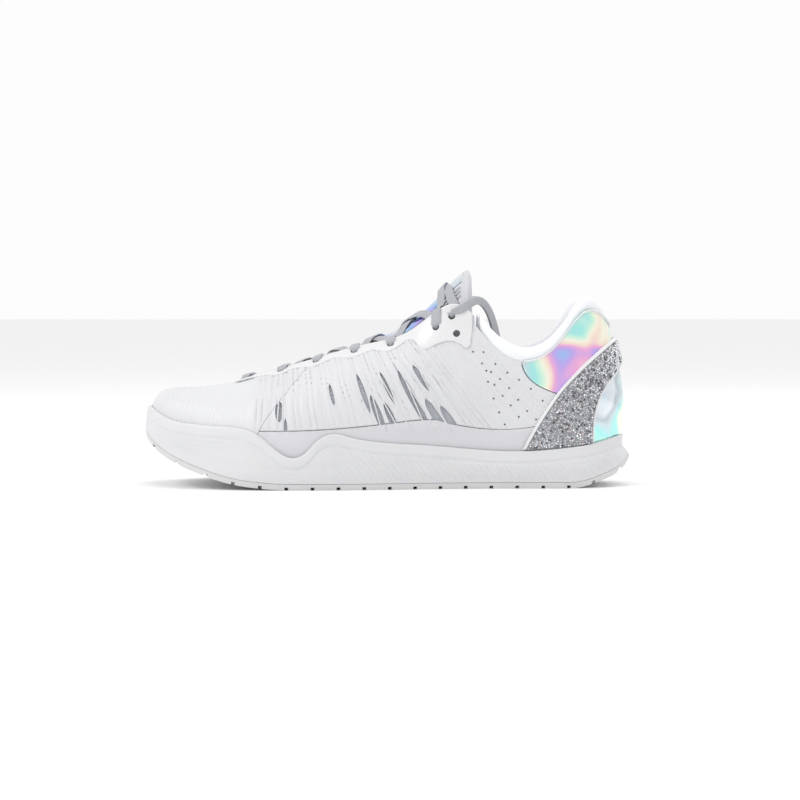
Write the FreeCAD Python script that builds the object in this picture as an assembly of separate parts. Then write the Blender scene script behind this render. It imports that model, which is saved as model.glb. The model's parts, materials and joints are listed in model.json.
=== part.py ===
"""A low-cut cheer shoe for the left foot, built up the way a shoe is lasted.

The frame has +X towards the heel, -Y towards the outer (lateral) side and +Z up. The origin is on
the ground under the middle of the shoe. All sizes are in millimetres.

The upper is a stack of thin layers around the foot. A place on it is given by a station, which
counts once around the shoe (0 at the back of the heel, 14 at the tip of the toe, 28 back at the
heel, with the lateral side first), by how far it lies up the wall from the sole to the top edge,
and by its depth, measured outwards from the face that touches the foot.
"""
import FreeCAD, Part
import math
import os

Vec = FreeCAD.Vector

# ---------------------------------------------------------------- driving sizes
shoe_length = 285.0
shoe_width = 104.0
shoe_height = 125.0

lining_thickness = 0.8
stiffener_thickness = 0.75
mesh_thickness = 0.65
overlay_thickness = 0.8
strap_thickness = 0.8
crystal_bed_thickness = 0.8
layer_gap = 0.15

outsole_thickness = 3.4
tread_depth = 1.7
tread_width = 2.2
tread_pitch = 15.0
tread_zigzag = 5.0
bond_gap = 0.2
cup_clearance = 0.25

shank_length = 70.0
shank_width = 24.0
shank_thickness = 1.2
shank_cover = 0.5

strobel_thickness = 1.2
sockliner_foam_thickness = 3.5
sockliner_cover_thickness = 0.6
sockliner_side_clearance = 0.8

strap_edge_width = 1.8
strap_edge_height = 1.2

eyelet_radius = 2.4
lace_width = 5.6
lace_width_in_hole = 2.8
lace_thickness = 0.9
lace_lift = 1.0
lace_over = 0.45
lace_under = 0.35
lace_end_diameter = 2.4
aglet_length = 16.0
aglet_diameter = 2.8

collar_pad_depth = 34.0
collar_pad_bulge = 5.0
collar_roll_height = 3.2
collar_edge_drop = 5.0

tongue_skin = 0.8
tongue_binding_width = 2.4
body_gap = 0.3

# ---------------------------------------------------------------- how the last's shape scales
REFERENCE_LENGTH = 285.0
REFERENCE_WIDTH = 104.0
REFERENCE_HEIGHT = 125.0
length_scale = shoe_length / REFERENCE_LENGTH
width_scale = shoe_width / REFERENCE_WIDTH
height_scale = shoe_height / REFERENCE_HEIGHT

# ---------------------------------------------------------------- depths of the upper's layers
lining_depth = (0.0, lining_thickness)
stiffener_depth = (lining_depth[1] + layer_gap, lining_depth[1] + layer_gap + stiffener_thickness)
mesh_depth = (stiffener_depth[1] + body_gap, stiffener_depth[1] + body_gap + mesh_thickness)
overlay_depth = (mesh_depth[1] + body_gap, mesh_depth[1] + body_gap + overlay_thickness)
strap_depth = (overlay_depth[1] + layer_gap, overlay_depth[1] + layer_gap + strap_thickness)
eyestay_depth = (overlay_depth[1] + body_gap, overlay_depth[1] + body_gap + strap_thickness)
crystal_depth = (strap_depth[1] + layer_gap, strap_depth[1] + layer_gap + crystal_bed_thickness)
edge_depth = (crystal_depth[0], crystal_depth[0] + strap_edge_height)
cup_depth = overlay_depth[1] + cup_clearance

# ---------------------------------------------------------------- shape of the last
TOE = 14
ROUND = 28
FACE_SAMPLES = 16
COLLAR_END = 5.42
FRONT_SEAM = 10.3
RAND_TOP = 0.27
CAGE_REAR_LOW = 1.95
CAGE_REAR_HIGH = 4.05
upper_seat = 2.4

# Feather edge seen from above, heel to toe: x, y on the lateral side, y on the medial side.
feather_edge = [
    (132.5, 0.0, 0.0), (127.0, -14.5, 14.5), (114.0, -24.5, 24.5), (95.0, -28.0, 27.0),
    (72.0, -28.5, 26.5), (48.0, -30.0, 25.5), (24.0, -33.5, 27.0), (0.0, -38.0, 31.0),
    (-24.0, -41.5, 36.5), (-48.0, -43.5, 41.0), (-71.0, -43.0, 42.5), (-92.0, -39.0, 41.5),
    (-111.0, -30.5, 37.0), (-126.0, -16.5, 27.5), (-134.3, 5.0, 5.0),
]

# Top edge of the collar and throat, heel to the front of the throat: x, half width, z.
top_edge = [
    (124.8, 0.0, 97.5), (121.5, 13.0, 102.8), (112.5, 20.5, 106.0), (98.0, 24.5, 87.5),
    (79.0, 27.0, 78.4), (60.0, 27.0, 88.6), (42.5, 23.0, 105.0), (25.5, 19.0, 96.5),
    (9.0, 16.2, 84.4), (-14.0, 15.0, 78.0), (-36.0, 14.0, 71.5), (-56.0, 13.0, 65.5),
    (-71.0, 11.0, 61.5), (-81.5, 7.0, 58.5), (-86.0, 0.0, 56.0),
]

# Fullness of the wall between the two edges, heel to toe: outward and upward pull of the
# feather edge, then outward and downward pull of the top edge.
wall_fullness = [
    (5.5, 25.0, 9.2, 25.0), (5.2, 25.0, 7.5, 25.0), (4.5, 25.0, 4.0, 25.0), (4.0, 22.0, 3.0, 22.0),
    (4.0, 20.0, 2.5, 20.0), (4.0, 22.0, 3.0, 24.0), (5.0, 26.0, 5.0, 26.0), (6.0, 26.0, 8.0, 20.0),
    (7.0, 24.0, 14.0, 12.0), (7.5, 22.0, 18.0, 9.0), (7.5, 22.0, 20.0, 8.0), (7.0, 22.0, 22.0, 8.0),
    (6.5, 24.0, 24.0, 8.0), (5.5, 28.0, 28.0, 8.0), (4.7, 32.0, 32.0, 8.3),
]

# Footbed height along the shoe, toe to heel.
footbed_line = [
    (-134.5, 30.0), (-120.0, 23.5), (-105.0, 17.8), (-90.0, 13.8), (-60.0, 11.5), (-20.0, 12.0),
    (30.0, 14.5), (85.0, 18.0), (133.0, 20.5),
]

# Ground line of the sole, toe to heel, and the wavy top line of the midsole, heel to toe.
ground_line_toe = [
    (-142.6, 36.0), (-141.3, 30.0), (-133.1, 21.0), (-120.8, 14.1), (-105.5, 8.4), (-90.8, 3.9),
    (-74.0, 1.2), (-64.0, 0.3), (-55.0, 0.0),
]
ground_line_heel = [(108.0, 0.0), (114.0, 0.9), (122.5, 3.6), (132.5, 7.4), (139.4, 12.5), (142.6, 18.2)]
midsole_top_line = [
    (143.0, 30.0), (137.5, 29.6), (120.0, 25.7), (103.4, 23.3), (81.0, 21.5), (54.6, 22.3),
    (25.4, 25.0), (3.2, 26.6), (-20.9, 30.3), (-30.3, 32.1), (-37.5, 29.4), (-44.7, 21.9),
    (-53.2, 18.5), (-63.9, 24.0), (-77.7, 33.6), (-96.9, 36.3), (-114.9, 37.5), (-126.9, 39.6),
    (-134.7, 43.2), (-143.0, 48.0),
]

# Thickness of the midsole's wall outside the cup at each height: side, heel, toe.
wall_heights = [-6.0, 0.0, 6.0, 12.0, 18.0, 24.0, 31.0, 38.0, 49.0]
wall_at_side = [2.2, 2.6, 4.3, 4.8, 3.6, 2.1, 1.7, 1.5, 1.3]
wall_at_heel = [5.0, 5.0, 5.2, 5.6, 6.0, 1.7, 1.1, 1.1, 1.1]
wall_at_toe = [3.9, 3.9, 3.9, 3.9, 3.9, 3.9, 3.8, 2.8, 1.0]

# Tongue, front to back: x, top of its ridge, half width, height of its arch, thickness.
tongue_line = [
    (-92.0, 50.5, 9.0, 4.0, 3.4), (-81.0, 52.4, 13.0, 6.0, 3.6), (-71.0, 58.6, 17.0, 10.0, 4.6),
    (-51.0, 69.0, 21.0, 21.0, 6.0), (-36.0, 74.4, 22.0, 26.0, 7.0), (-14.0, 81.4, 22.5, 27.0, 7.5),
    (9.0, 91.5, 22.0, 32.0, 8.0), (25.5, 104.0, 22.5, 32.0, 8.0), (42.0, 121.2, 23.5, 33.0, 8.0),
    (47.0, 124.6, 24.0, 33.0, 8.0),
]

# Heel strap, from the sole on the lateral side to the back of the heel: station and height of
# its upper edge, station and height of its lower edge.
strap_line = [
    (3.74, 22.8, 1.80, 26.6), (3.45, 36.5, 1.80, 37.5), (3.00, 52.5, 1.68, 48.0),
    (2.50, 63.8, 1.40, 57.0), (1.90, 74.0, 1.00, 63.5), (1.00, 83.3, 0.50, 68.0),
    (0.00, 85.0, 0.00, 69.5),
]

# Eyelets, front to back: x and distance below the top edge. The last has no lace in it.
eyelets = [
    (-83.0, 5.0), (-61.4, 4.8), (-40.7, 4.8), (-18.6, 4.8), (2.4, 5.0), (28.5, 10.5), (37.7, 7.5),
]
spare_eyelet = (40.4, 17.5)

# Openings in the strand cage that show the mesh, seen from the side: centre x and z, width,
# height and lean.
cage_windows = [
    (-63.8, 43.5, 4.0, 12.0, 6.0), (-26.0, 54.0, 4.0, 10.0, 4.0), (-7.0, 47.0, 8.0, 17.0, 5.0),
    (9.4, 58.0, 5.0, 13.0, -4.0), (21.0, 46.0, 6.0, 20.0, -5.0), (35.0, 45.0, 8.0, 19.0, -7.0),
]

# Lateral free end of the lace after its last eyelet: x, y and z of the corners of its route.
lace_end_route = [
    (42.4, -30.4, 102.6), (47.0, -29.7, 105.4), (51.6, -26.8, 108.4), (56.2, -22.8, 107.2),
    (60.0, -19.6, 102.0), (62.8, -18.0, 94.0), (64.8, -17.7, 85.0), (66.2, -18.2, 75.0),
    (67.0, -19.0, 64.5),
]


def place(x, y, z):
    """A point of the reference last, scaled to this shoe."""
    return Vec(x * length_scale, y * width_scale, z * height_scale)


def curve_through(points, parameters=None, closed=False):
    """A smooth curve through points, counted 0, 1, 2 ... along it unless parameters are given."""
    count = len(points) + (1 if closed else 0)
    curve = Part.BSplineCurve()
    curve.interpolate(Points=points, PeriodicFlag=closed, Parameters=parameters or list(range(count)))
    return curve


def both_sides(rows):
    """Rows for the lateral side, then the same rows mirrored back along the medial side."""
    return rows + rows[-2:0:-1]


def feather_points():
    """The feather edge all around, with the height of the footbed under it."""
    lateral = [(x, y) for x, y, _ in feather_edge]
    medial = [(x, y) for x, _, y in feather_edge[-2:0:-1]]
    points = []
    for x, y in lateral + medial:
        flat = place(x, y, 0.0)
        points.append(Vec(flat.x, flat.y, footbed_height(flat.x) + upper_seat))
    return points


def top_points():
    """The collar and throat edge all around."""
    lateral = [place(x, -y, z) for x, y, z in top_edge]
    medial = [place(x, y, z) for x, y, z in top_edge[-2:0:-1]]
    return lateral + medial


footbed_points = [place(x, 0.0, z) for x, z in footbed_line]
footbed_curve = curve_through(footbed_points, [point.x for point in footbed_points])


def footbed_height(x):
    """Height of the midsole's footbed at x."""
    low = footbed_points[0].x
    high = footbed_points[-1].x
    return footbed_curve.value(min(max(x, low), high)).z


feather_curve = curve_through(feather_points(), closed=True)
top_curve = curve_through(top_points(), closed=True)
low_pull_curve = curve_through(
    [Vec(low * width_scale, rise * height_scale, high) for low, rise, high, _ in both_sides(wall_fullness)],
    closed=True)
high_pull_curve = curve_through(
    [Vec(high * width_scale, fall * height_scale, 0.0) for _, _, high, fall in both_sides(wall_fullness)],
    closed=True)

section_cache = {}
arc_cache = {}


def outward(station):
    """The level direction that points out of the shoe at a station of the feather edge."""
    tangent = feather_curve.tangent(station % ROUND)[0]
    return Vec(-tangent.y, tangent.x, 0.0).normalize()


def wall_section(station):
    """The four control points of the wall's curve at a station."""
    key = round(station % ROUND, 5)
    if key not in section_cache:
        low = feather_curve.value(key)
        high = top_curve.value(key)
        out = outward(key)
        low_pull = low_pull_curve.value(key)
        high_pull = high_pull_curve.value(key)
        second = low + out * low_pull.x + Vec(0, 0, low_pull.y)
        third = high + out * high_pull.x - Vec(0, 0, high_pull.y)
        section_cache[key] = (low, second, third, high)
    return section_cache[key]


def wall_middle(station, rise):
    """The point on the foot's face of the wall at a rise from 0 at the sole to 1 at the top."""
    a, b, c, d = wall_section(station)
    left = 1.0 - rise
    return a * left**3 + b * (3 * left**2 * rise) + c * (3 * left * rise**2) + d * rise**3


def wall_rise_direction(station, rise):
    """Direction of growing rise."""
    a, b, c, d = wall_section(station)
    left = 1.0 - rise
    return (b - a) * (3 * left**2) + (c - b) * (6 * left * rise) + (d - c) * (3 * rise**2)


def wall_normal(station, rise):
    """Unit vector out of the wall."""
    step = 0.02
    along = wall_middle(station + step, rise) - wall_middle(station - step, rise)
    return wall_rise_direction(station, rise).cross(along).normalize()


def wall_point(station, rise, depth):
    """A point of the upper."""
    return wall_middle(station, rise) + wall_normal(station, rise) * depth


def rise_below_edge(station, drop):
    """The rise at a distance below the top edge, measured along the wall."""
    key = round(station % ROUND, 5)
    if key not in arc_cache:
        steps = 40
        table = [0.0]
        last = wall_middle(key, 1.0)
        for i in range(1, steps + 1):
            here = wall_middle(key, 1.0 - i / steps)
            table.append(table[-1] + (here - last).Length)
            last = here
        arc_cache[key] = table
    table = arc_cache[key]
    for i in range(1, len(table)):
        if table[i] >= drop:
            share = (drop - table[i - 1]) / (table[i] - table[i - 1])
            return 1.0 - (i - 1 + share) / (len(table) - 1)
    return 0.0


def edge_point(station, above, depth):
    """A point at a distance above (or, if negative, below) the top edge."""
    if above <= 0.0:
        return wall_point(station, rise_below_edge(station, -above), depth)
    up = wall_rise_direction(station, 1.0).normalize()
    return wall_point(station, 1.0, depth) + up * above


def rise_at_height(station, height, depth=0.0):
    """The rise at which the layer at this depth passes a height."""
    low, high = 0.0, 1.0
    if wall_point(station, low, depth).z >= height:
        return low
    for _ in range(26):
        middle = (low + high) / 2
        if wall_point(station, middle, depth).z < height:
            low = middle
        else:
            high = middle
    return low


def station_at_x(x, drop, depth, first, last):
    """The station between first and last at which a point below the top edge has this x."""
    low, high = first, last
    for _ in range(26):
        middle = (low + high) / 2
        if edge_point(middle, -drop, depth).x > x:
            low = middle
        else:
            high = middle
    return low


# ---------------------------------------------------------------- solids from curved sheets
def curved_face(grid):
    """A smooth surface through a grid of points."""
    surface = Part.BSplineSurface()
    surface.interpolate(grid)
    return surface


def sewn_solid(faces):
    """One closed solid from faces that meet at their edges."""
    shell = Part.makeShell(faces)
    shell.sewShape(0.01)
    if shell.ShapeType != "Shell":
        shell = shell.Shells[0]
    solid = Part.makeSolid(shell)
    if solid.Volume < 0:
        solid.reverse()
    return solid


def thick_sheet(point, across, up, ring=False):
    """A sheet with thickness. point(a, b, side) gives its inner face (side 0) and outer face
    (side 1) for a along it and b up it, both from 0 to 1. A ring closes on itself along a.
    """
    surfaces = []
    for side in (0, 1):
        grid = [[point(i / across, j / up, side) for j in range(up + 1)] for i in range(across + 1)]
        surfaces.append(curved_face(grid))
    inner, outer = surfaces
    u0, u1, v0, v1 = inner.bounds()
    p0, p1, r0, r1 = outer.bounds()
    pairs = [(inner.vIso(v0), outer.vIso(r0)), (inner.vIso(v1), outer.vIso(r1))]
    if not ring:
        pairs += [(inner.uIso(u0), outer.uIso(p0)), (inner.uIso(u1), outer.uIso(p1))]
    walls = [Part.makeRuledSurface(one.toShape(), two.toShape(), 1) for one, two in pairs]
    return sewn_solid([inner.toShape(), outer.toShape()] + walls)


def layer(depth, first, last, low, high, across=40, up=12):
    """A layer of the upper between two stations. low and high give the rise of its lower and
    upper edge at a station."""
    def point(a, b, side):
        station = first + (last - first) * a
        rise = low(station) + (high(station) - low(station)) * b
        return wall_point(station, rise, depth[side])
    return thick_sheet(point, across, up)


def steady(value):
    """An edge at the same rise all along."""
    return lambda station: value


def below_edge(drop):
    """An edge at the same distance below the top edge all along."""
    return lambda station: rise_below_edge(station, drop)


def blend(value, start, end):
    """0 before start, 1 after end, and smooth between."""
    share = min(max((value - start) / (end - start), 0.0), 1.0)
    return share * share * (3.0 - 2.0 * share)


# ---------------------------------------------------------------- eyelets
def eyelet_places():
    """Station and distance below the edge of each lateral eyelet, the spare one last."""
    found = []
    for x, drop in eyelets + [spare_eyelet]:
        station = station_at_x(x * length_scale, drop, strap_depth[1], 5.9, 13.7)
        found.append((station, drop))
    return found


def eyelet_drills():
    """Round cutters through every eyelet on both sides."""
    drills = []
    for station, drop in eyelet_places():
        for here in (station, ROUND - station):
            start = edge_point(here, -drop, -4.0)
            way = edge_point(here, -drop, 4.0) - start
            drills.append(Part.makeCylinder(eyelet_radius, 14.0, start, way))
    return Part.makeCompound(drills)


def drilled(solid):
    """The solid with every eyelet cut through it."""
    return solid.cut(eyelet_drills())


# ---------------------------------------------------------------- the sole
def side_prism(low, high):
    """Everything between a lower and an upper line seen from the side."""
    reach = shoe_width
    ends = [Part.makeLine(low[1], high[1]), Part.makeLine(low[2], high[2])]
    wire = Part.Wire(Part.__sortEdges__(low[0] + high[0] + ends))
    wire.translate(Vec(0, -reach, 0))
    return Part.Face(wire).extrude(Vec(0, 2 * reach, 0))


def smooth_line(points):
    """A line for side_prism through points: its edges, its first point and its last point."""
    return [curve_through(points).toShape()], points[0], points[-1]


def ground_line(lift):
    """The ground line for side_prism, level under the shoe and curved up at both ends."""
    toe = [place(x, 0, z) + Vec(0, 0, lift) for x, z in ground_line_toe]
    heel = [place(x, 0, z) + Vec(0, 0, lift) for x, z in ground_line_heel]
    return [spaced_curve(toe), Part.makeLine(toe[-1], heel[0]), spaced_curve(heel)], toe[0], heel[-1]


def spaced_curve(points):
    """A smooth edge through points that are far from evenly spaced."""
    marks = [0.0]
    for one, two in zip(points, points[1:]):
        marks.append(marks[-1] + (two - one).Length)
    return curve_through(points, marks).toShape()


def cup_ring(height):
    """Where the outside of the upper, with its clearance, passes a height: points in order."""
    points = []
    for i in range(2 * ROUND):
        station = i / 2
        point = wall_point(station, rise_at_height(station, height, cup_depth), cup_depth)
        points.append(Vec(point.x, point.y, height))
    return points


def wall_width(station, level):
    """How thick the midsole is outside the cup at a station and one of wall_heights."""
    from_heel = min(station, ROUND - station)
    heel = 1.0 - blend(from_heel, 0.3, 2.2)
    toe = blend(from_heel, 10.5, 13.5)
    side = 1.0 - heel - toe
    return wall_at_side[level] * side + wall_at_heel[level] * heel + wall_at_toe[level] * toe


def ring_wire(points):
    """A smooth closed wire through points."""
    return Part.Wire(curve_through(points, closed=True).toShape())


def sole_block():
    """The outside of the sole unit, before its ground and top lines are cut."""
    rings = []
    for level, height in enumerate(wall_heights):
        points = cup_ring(height * height_scale)
        moved = [point + outward(i / 2) * wall_width(i / 2, level) for i, point in enumerate(points)]
        rings.append(ring_wire(moved))
    return Part.makeLoft(rings, True, False)


def cup_block():
    """The space that the upper and what is in it take out of the midsole."""
    levels = [4.0, 12.0, 18.0, 21.0, 24.0, 27.0, 31.0, 34.5, 38.0, 41.0, 44.0, 47.0, 50.0]
    inside = Part.makeLoft([ring_wire(cup_ring(level * height_scale)) for level in levels], True, True)
    high = [Vec(point.x, 0, 80.0 * height_scale) for point in (footbed_points[0], footbed_points[-1])]
    ends = [Vec(-150 * length_scale, 0, footbed_points[0].z), Vec(150 * length_scale, 0, footbed_points[-1].z)]
    low = [ends[0]] + footbed_points + [ends[1]]
    tall = [Vec(ends[0].x, 0, high[0].z), Vec(ends[1].x, 0, high[1].z)]
    return inside.common(side_prism(smooth_line(low), smooth_line(tall)))


def shank_block(clearance):
    """The shank plate, or with a clearance the recess that holds it."""
    middle = shank_length / 2 * length_scale
    half = shank_length / 2 + clearance
    xs = [middle - half + 2 * half * i / 4 for i in range(5)]
    top = [Vec(x, 0, footbed_height(x) - shank_cover + clearance) for x in xs]
    low = [Vec(x, 0, footbed_height(x) - shank_cover - shank_thickness - clearance) for x in xs]
    width = shank_width + 2 * clearance
    strip = Part.makeBox(4 * half, width, 200, Vec(middle - 2 * half, -width / 2, -50))
    return side_prism(smooth_line(low), smooth_line(top)).common(strip)


def tread_cutter():
    """Zigzag grooves across the ground face."""
    span = shoe_width
    legs = 8
    grooves = []
    count = int(shoe_length / tread_pitch)
    for i in range(count):
        x = -shoe_length / 2 + tread_pitch * (i + 0.5)
        front = []
        for k in range(legs + 1):
            swing = tread_zigzag / 2 * (-1) ** k
            front.append(Vec(x + swing, -span + 2 * span * k / legs, -10))
        back = [point + Vec(tread_width, 0, 0) for point in reversed(front)]
        outline = Part.makePolygon(front + back + front[:1])
        grooves.append(Part.Face(outline).extrude(Vec(0, 0, 80)))
    below = side_prism(ground_line(-9.0), ground_line(tread_depth))
    return Part.makeCompound(grooves).common(below)


def midsole_top_points():
    """The wavy top line of the midsole, toe to heel."""
    return [place(x, 0, z) for x, z in reversed(midsole_top_line)]


def make_outsole(block):
    """The rubber plate under the midsole, with zigzag tread."""
    plate = block.common(side_prism(ground_line(0.0), ground_line(outsole_thickness)))
    return plate.cut(tread_cutter())


def make_midsole(block):
    """The foam cup that the upper sits in."""
    body = block.common(side_prism(ground_line(outsole_thickness + bond_gap), smooth_line(midsole_top_points())))
    return body.cut(cup_block()).cut(shank_block(layer_gap))


def foot_outline(inset):
    """The footbed's outline at a distance inside the feather edge, as a level face."""
    points = []
    for i in range(2 * ROUND):
        station = i / 2
        edge = feather_curve.value(station)
        point = edge - outward(station) * inset
        points.append(Vec(point.x, point.y, 0.0))
    return Part.Face(ring_wire(points))


def foot_plate(inset, low, high):
    """A plate that follows the footbed, between two heights above it."""
    column = foot_outline(inset).extrude(Vec(0, 0, 90 * height_scale))
    reach = [Vec(-150 * length_scale, 0, footbed_points[0].z)] + footbed_points
    reach += [Vec(150 * length_scale, 0, footbed_points[-1].z)]
    bottom = [point + Vec(0, 0, low) for point in reach]
    top = [point + Vec(0, 0, high) for point in reach]
    return column.common(side_prism(smooth_line(bottom), smooth_line(top)))


board_levels = (layer_gap, layer_gap + strobel_thickness)
foam_levels = (board_levels[1] + body_gap, board_levels[1] + body_gap + sockliner_foam_thickness)
cover_levels = (foam_levels[1] + layer_gap, foam_levels[1] + layer_gap + sockliner_cover_thickness)


# ---------------------------------------------------------------- the collar
def collar_path():
    """The padded collar's outline in section, from inside the shoe, over the top edge and down
    outside: distance above the top edge, depth."""
    start = mesh_depth[0] - layer_gap
    bulge = collar_pad_bulge
    top = collar_roll_height
    return curve_through([
        Vec(-collar_pad_depth, start - 0.9, 0), Vec(-0.68 * collar_pad_depth, -0.45 * bulge, 0),
        Vec(-0.35 * collar_pad_depth, -bulge, 0), Vec(-0.12 * collar_pad_depth, -bulge, 0),
        Vec(0.45 * top, -0.5 * bulge, 0), Vec(top, 0.6, 0), Vec(0.4 * top, 3.0, 0),
        Vec(-collar_edge_drop + 0.7, 3.4, 0)])


def collar_station(a):
    """Station along the collar, from its lateral end around the heel to its medial end."""
    return COLLAR_END * (1.0 - 2.0 * a)


def make_collar_foam(path):
    """The foam pad inside the collar, between its cloth and the mesh behind it."""
    back_depth = mesh_depth[0] - body_gap
    back = curve_through([
        Vec(-collar_pad_depth, back_depth, 0), Vec(-0.6 * collar_pad_depth, back_depth, 0),
        Vec(-0.2 * collar_pad_depth, back_depth, 0), Vec(0.0, back_depth + 0.3, 0)])

    def point(a, b, side):
        spot = path.value(6 * b) if side == 0 else back.value(3 * b)
        return edge_point(collar_station(a), spot.x, spot.y)
    return thick_sheet(point, 72, 22)


def make_collar_lining(path):
    """The soft cloth that rolls over the collar foam."""
    def point(a, b, side):
        spot = path.value(7 * b)
        way = path.tangent(7 * b)[0]
        distance = layer_gap + (lining_thickness if side == 0 else 0.0)
        return edge_point(collar_station(a), spot.x + way.y * distance, spot.y - way.x * distance)
    return thick_sheet(point, 72, 26)


# ---------------------------------------------------------------- the heel strap
def strap_edges():
    """Curves of station and height for the strap's upper and lower edge, lateral to medial."""
    upper = [Vec(q, z * height_scale, 0) for q, z, _, _ in strap_line]
    lower = [Vec(q, z * height_scale, 0) for _, _, q, z in strap_line]
    upper += [Vec(-point.x, point.y, 0) for point in upper[-2::-1]]
    lower += [Vec(-point.x, point.y, 0) for point in lower[-2::-1]]
    return curve_through(upper), curve_through(lower)


def strap_sheet(depth, low_share, high_share, across=72, up=6):
    """A part of the strap's width, as a sheet. The shares give the distance in millimetres from
    the lower edge (positive) or from the upper edge (negative or zero)."""
    upper, lower = strap_edges()
    end = len(strap_line) * 2 - 2

    def spot_on(edge, count):
        spot = edge.value(count)
        return wall_point(spot.x, rise_at_height(spot.x, spot.y), 0.0)

    def share_of(mm, count):
        width = (spot_on(upper, count) - spot_on(lower, count)).Length
        return mm / width if mm > 0 or (mm == 0 and low_share == 0) else 1.0 + mm / width

    def point(a, b, side):
        count = end * a
        low = 0.0 if low_share == 0 else share_of(low_share, count)
        high = 1.0 if high_share == 0 else share_of(high_share, count)
        share = low + (high - low) * b
        spot = lower.value(count) * (1 - share) + upper.value(count) * share
        return wall_point(spot.x, rise_at_height(spot.x, spot.y), depth[side])
    return thick_sheet(point, across, up)


# ---------------------------------------------------------------- the tongue
def tongue_curves():
    """Ridge, half width, arch and thickness of the tongue along x."""
    rows = [(x * length_scale, z * height_scale, w * width_scale, h * height_scale, thick)
            for x, z, w, h, thick in tongue_line]
    xs = [row[0] for row in rows]
    first = curve_through([Vec(x, z, w) for x, z, w, _, _ in rows], xs)
    second = curve_through([Vec(x, h, thick) for x, _, _, h, thick in rows], xs)
    return first, second, xs[0], xs[-1]


def tongue_point(curves, x, angle, level):
    """A point of the tongue: angle -1 at its lateral edge, 0 on the ridge, 1 at the medial edge.
    level is a share of its thickness, measured inwards, and a distance to add to that."""
    first, second, front, back = curves
    spot = first.value(min(max(x, front), back))
    more = second.value(min(max(x, front), back))
    depth = level[0] * more.z + level[1]
    turn = angle * math.pi / 2
    half = spot.z - depth
    arch = more.y - 0.6 * depth
    return Vec(x, half * math.sin(turn), spot.y - depth - arch * (1.0 - math.cos(turn)))


def tongue_layer(outer, inner, from_x=None, to_x=None, across=30):
    """A layer of the tongue between two levels."""
    curves = tongue_curves()
    front = curves[2] if from_x is None else from_x
    back = curves[3] if to_x is None else to_x

    def point(a, b, side):
        return tongue_point(curves, front + (back - front) * a, 2 * b - 1, (inner, outer)[side])
    return thick_sheet(point, across, 20)


# ---------------------------------------------------------------- the lace
def lace_stops():
    """Places the lace goes through, for each half, the one that starts on the lateral side
    first. Each is a point, the direction of the lace's width there and its width."""
    spots = eyelet_places()[:-1]
    curves = tongue_curves()
    wall = strap_depth[1]
    mouth = wall + lace_thickness / 2 + lace_over
    under = -lace_thickness / 2 - lace_under
    in_hole = [(0.25, 0.19 * wall), (-0.15, 0.51 * wall), (0.25, 0.85 * wall)]
    halves = []
    for start_side in (-1, 1):
        stops = []
        for k, (station, drop) in enumerate(spots):
            side = start_side * (-1) ** k
            here = station if side < 0 else ROUND - station
            along = (edge_point(here + 0.05, -drop, 2.0) - edge_point(here - 0.05, -drop, 2.0)).normalize()
            inside = [(drop - 0.5, under), (3.6, under), (1.6, under)]
            outside = [(1.8, mouth), (4.0, mouth), (drop + 0.2, mouth - 0.4)]
            if k == 0:
                inside = inside[1:]
            if k == len(spots) - 1:
                outside = outside[:1]
            for above, depth in inside + in_hole + outside:
                width = lace_width_in_hole if abs(above) < 1.0 else lace_width
                stops.append((edge_point(here, above - drop, depth), along, width))
            if k < len(spots) - 1:
                stops += lace_crossing(curves, here, spots[k + 1][0], side, start_side)
        halves.append(stops)
    return halves


def lace_crossing(curves, here, next_station, side, start_side):
    """The lace's way over the tongue from one side to the next eyelet on the other side."""
    leave = edge_point(here, 1.5, 0.0)
    target_station = ROUND - next_station if side < 0 else next_station
    arrive = edge_point(target_station, -0.5, -1.0)
    stops = []
    for share in (0.12, 0.25, 0.38, 0.5, 0.62, 0.75, 0.88):
        x = leave.x + (arrive.x - leave.x) * share
        y = leave.y + (arrive.y - leave.y) * share
        spot = curves[0].value(x)
        arch = curves[1].value(x).y
        turn = math.asin(min(max(y / spot.z, -0.98), 0.98))
        top = spot.y - arch * (1.0 - math.cos(turn))
        lift = lace_thickness / 2 + lace_lift
        if abs(share - 0.5) < 0.15 and start_side > 0:
            lift += lace_thickness + lace_over
        slope = -arch * math.sin(turn) / (spot.z * max(math.cos(turn), 0.2))
        climb = (curves[0].value(x + 1.0).y - curves[0].value(x - 1.0).y) / 2
        normal = Vec(-climb, -slope, 1).normalize()
        way = (arrive - leave).normalize()
        stops.append((Vec(x, y, top) + normal * lift, way.cross(normal).normalize(), lace_width))
    return stops


def bar_stop(one, other):
    """The middle of the hidden bar between the two front eyelets, under the vamp's edge."""
    middle = (one[0] + other[0]) / 2
    along = (other[0] - one[0]).cross(Vec(0, 0, 1)).normalize()
    return (middle + Vec(0, 0, -lace_lift), along, lace_width)


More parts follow.
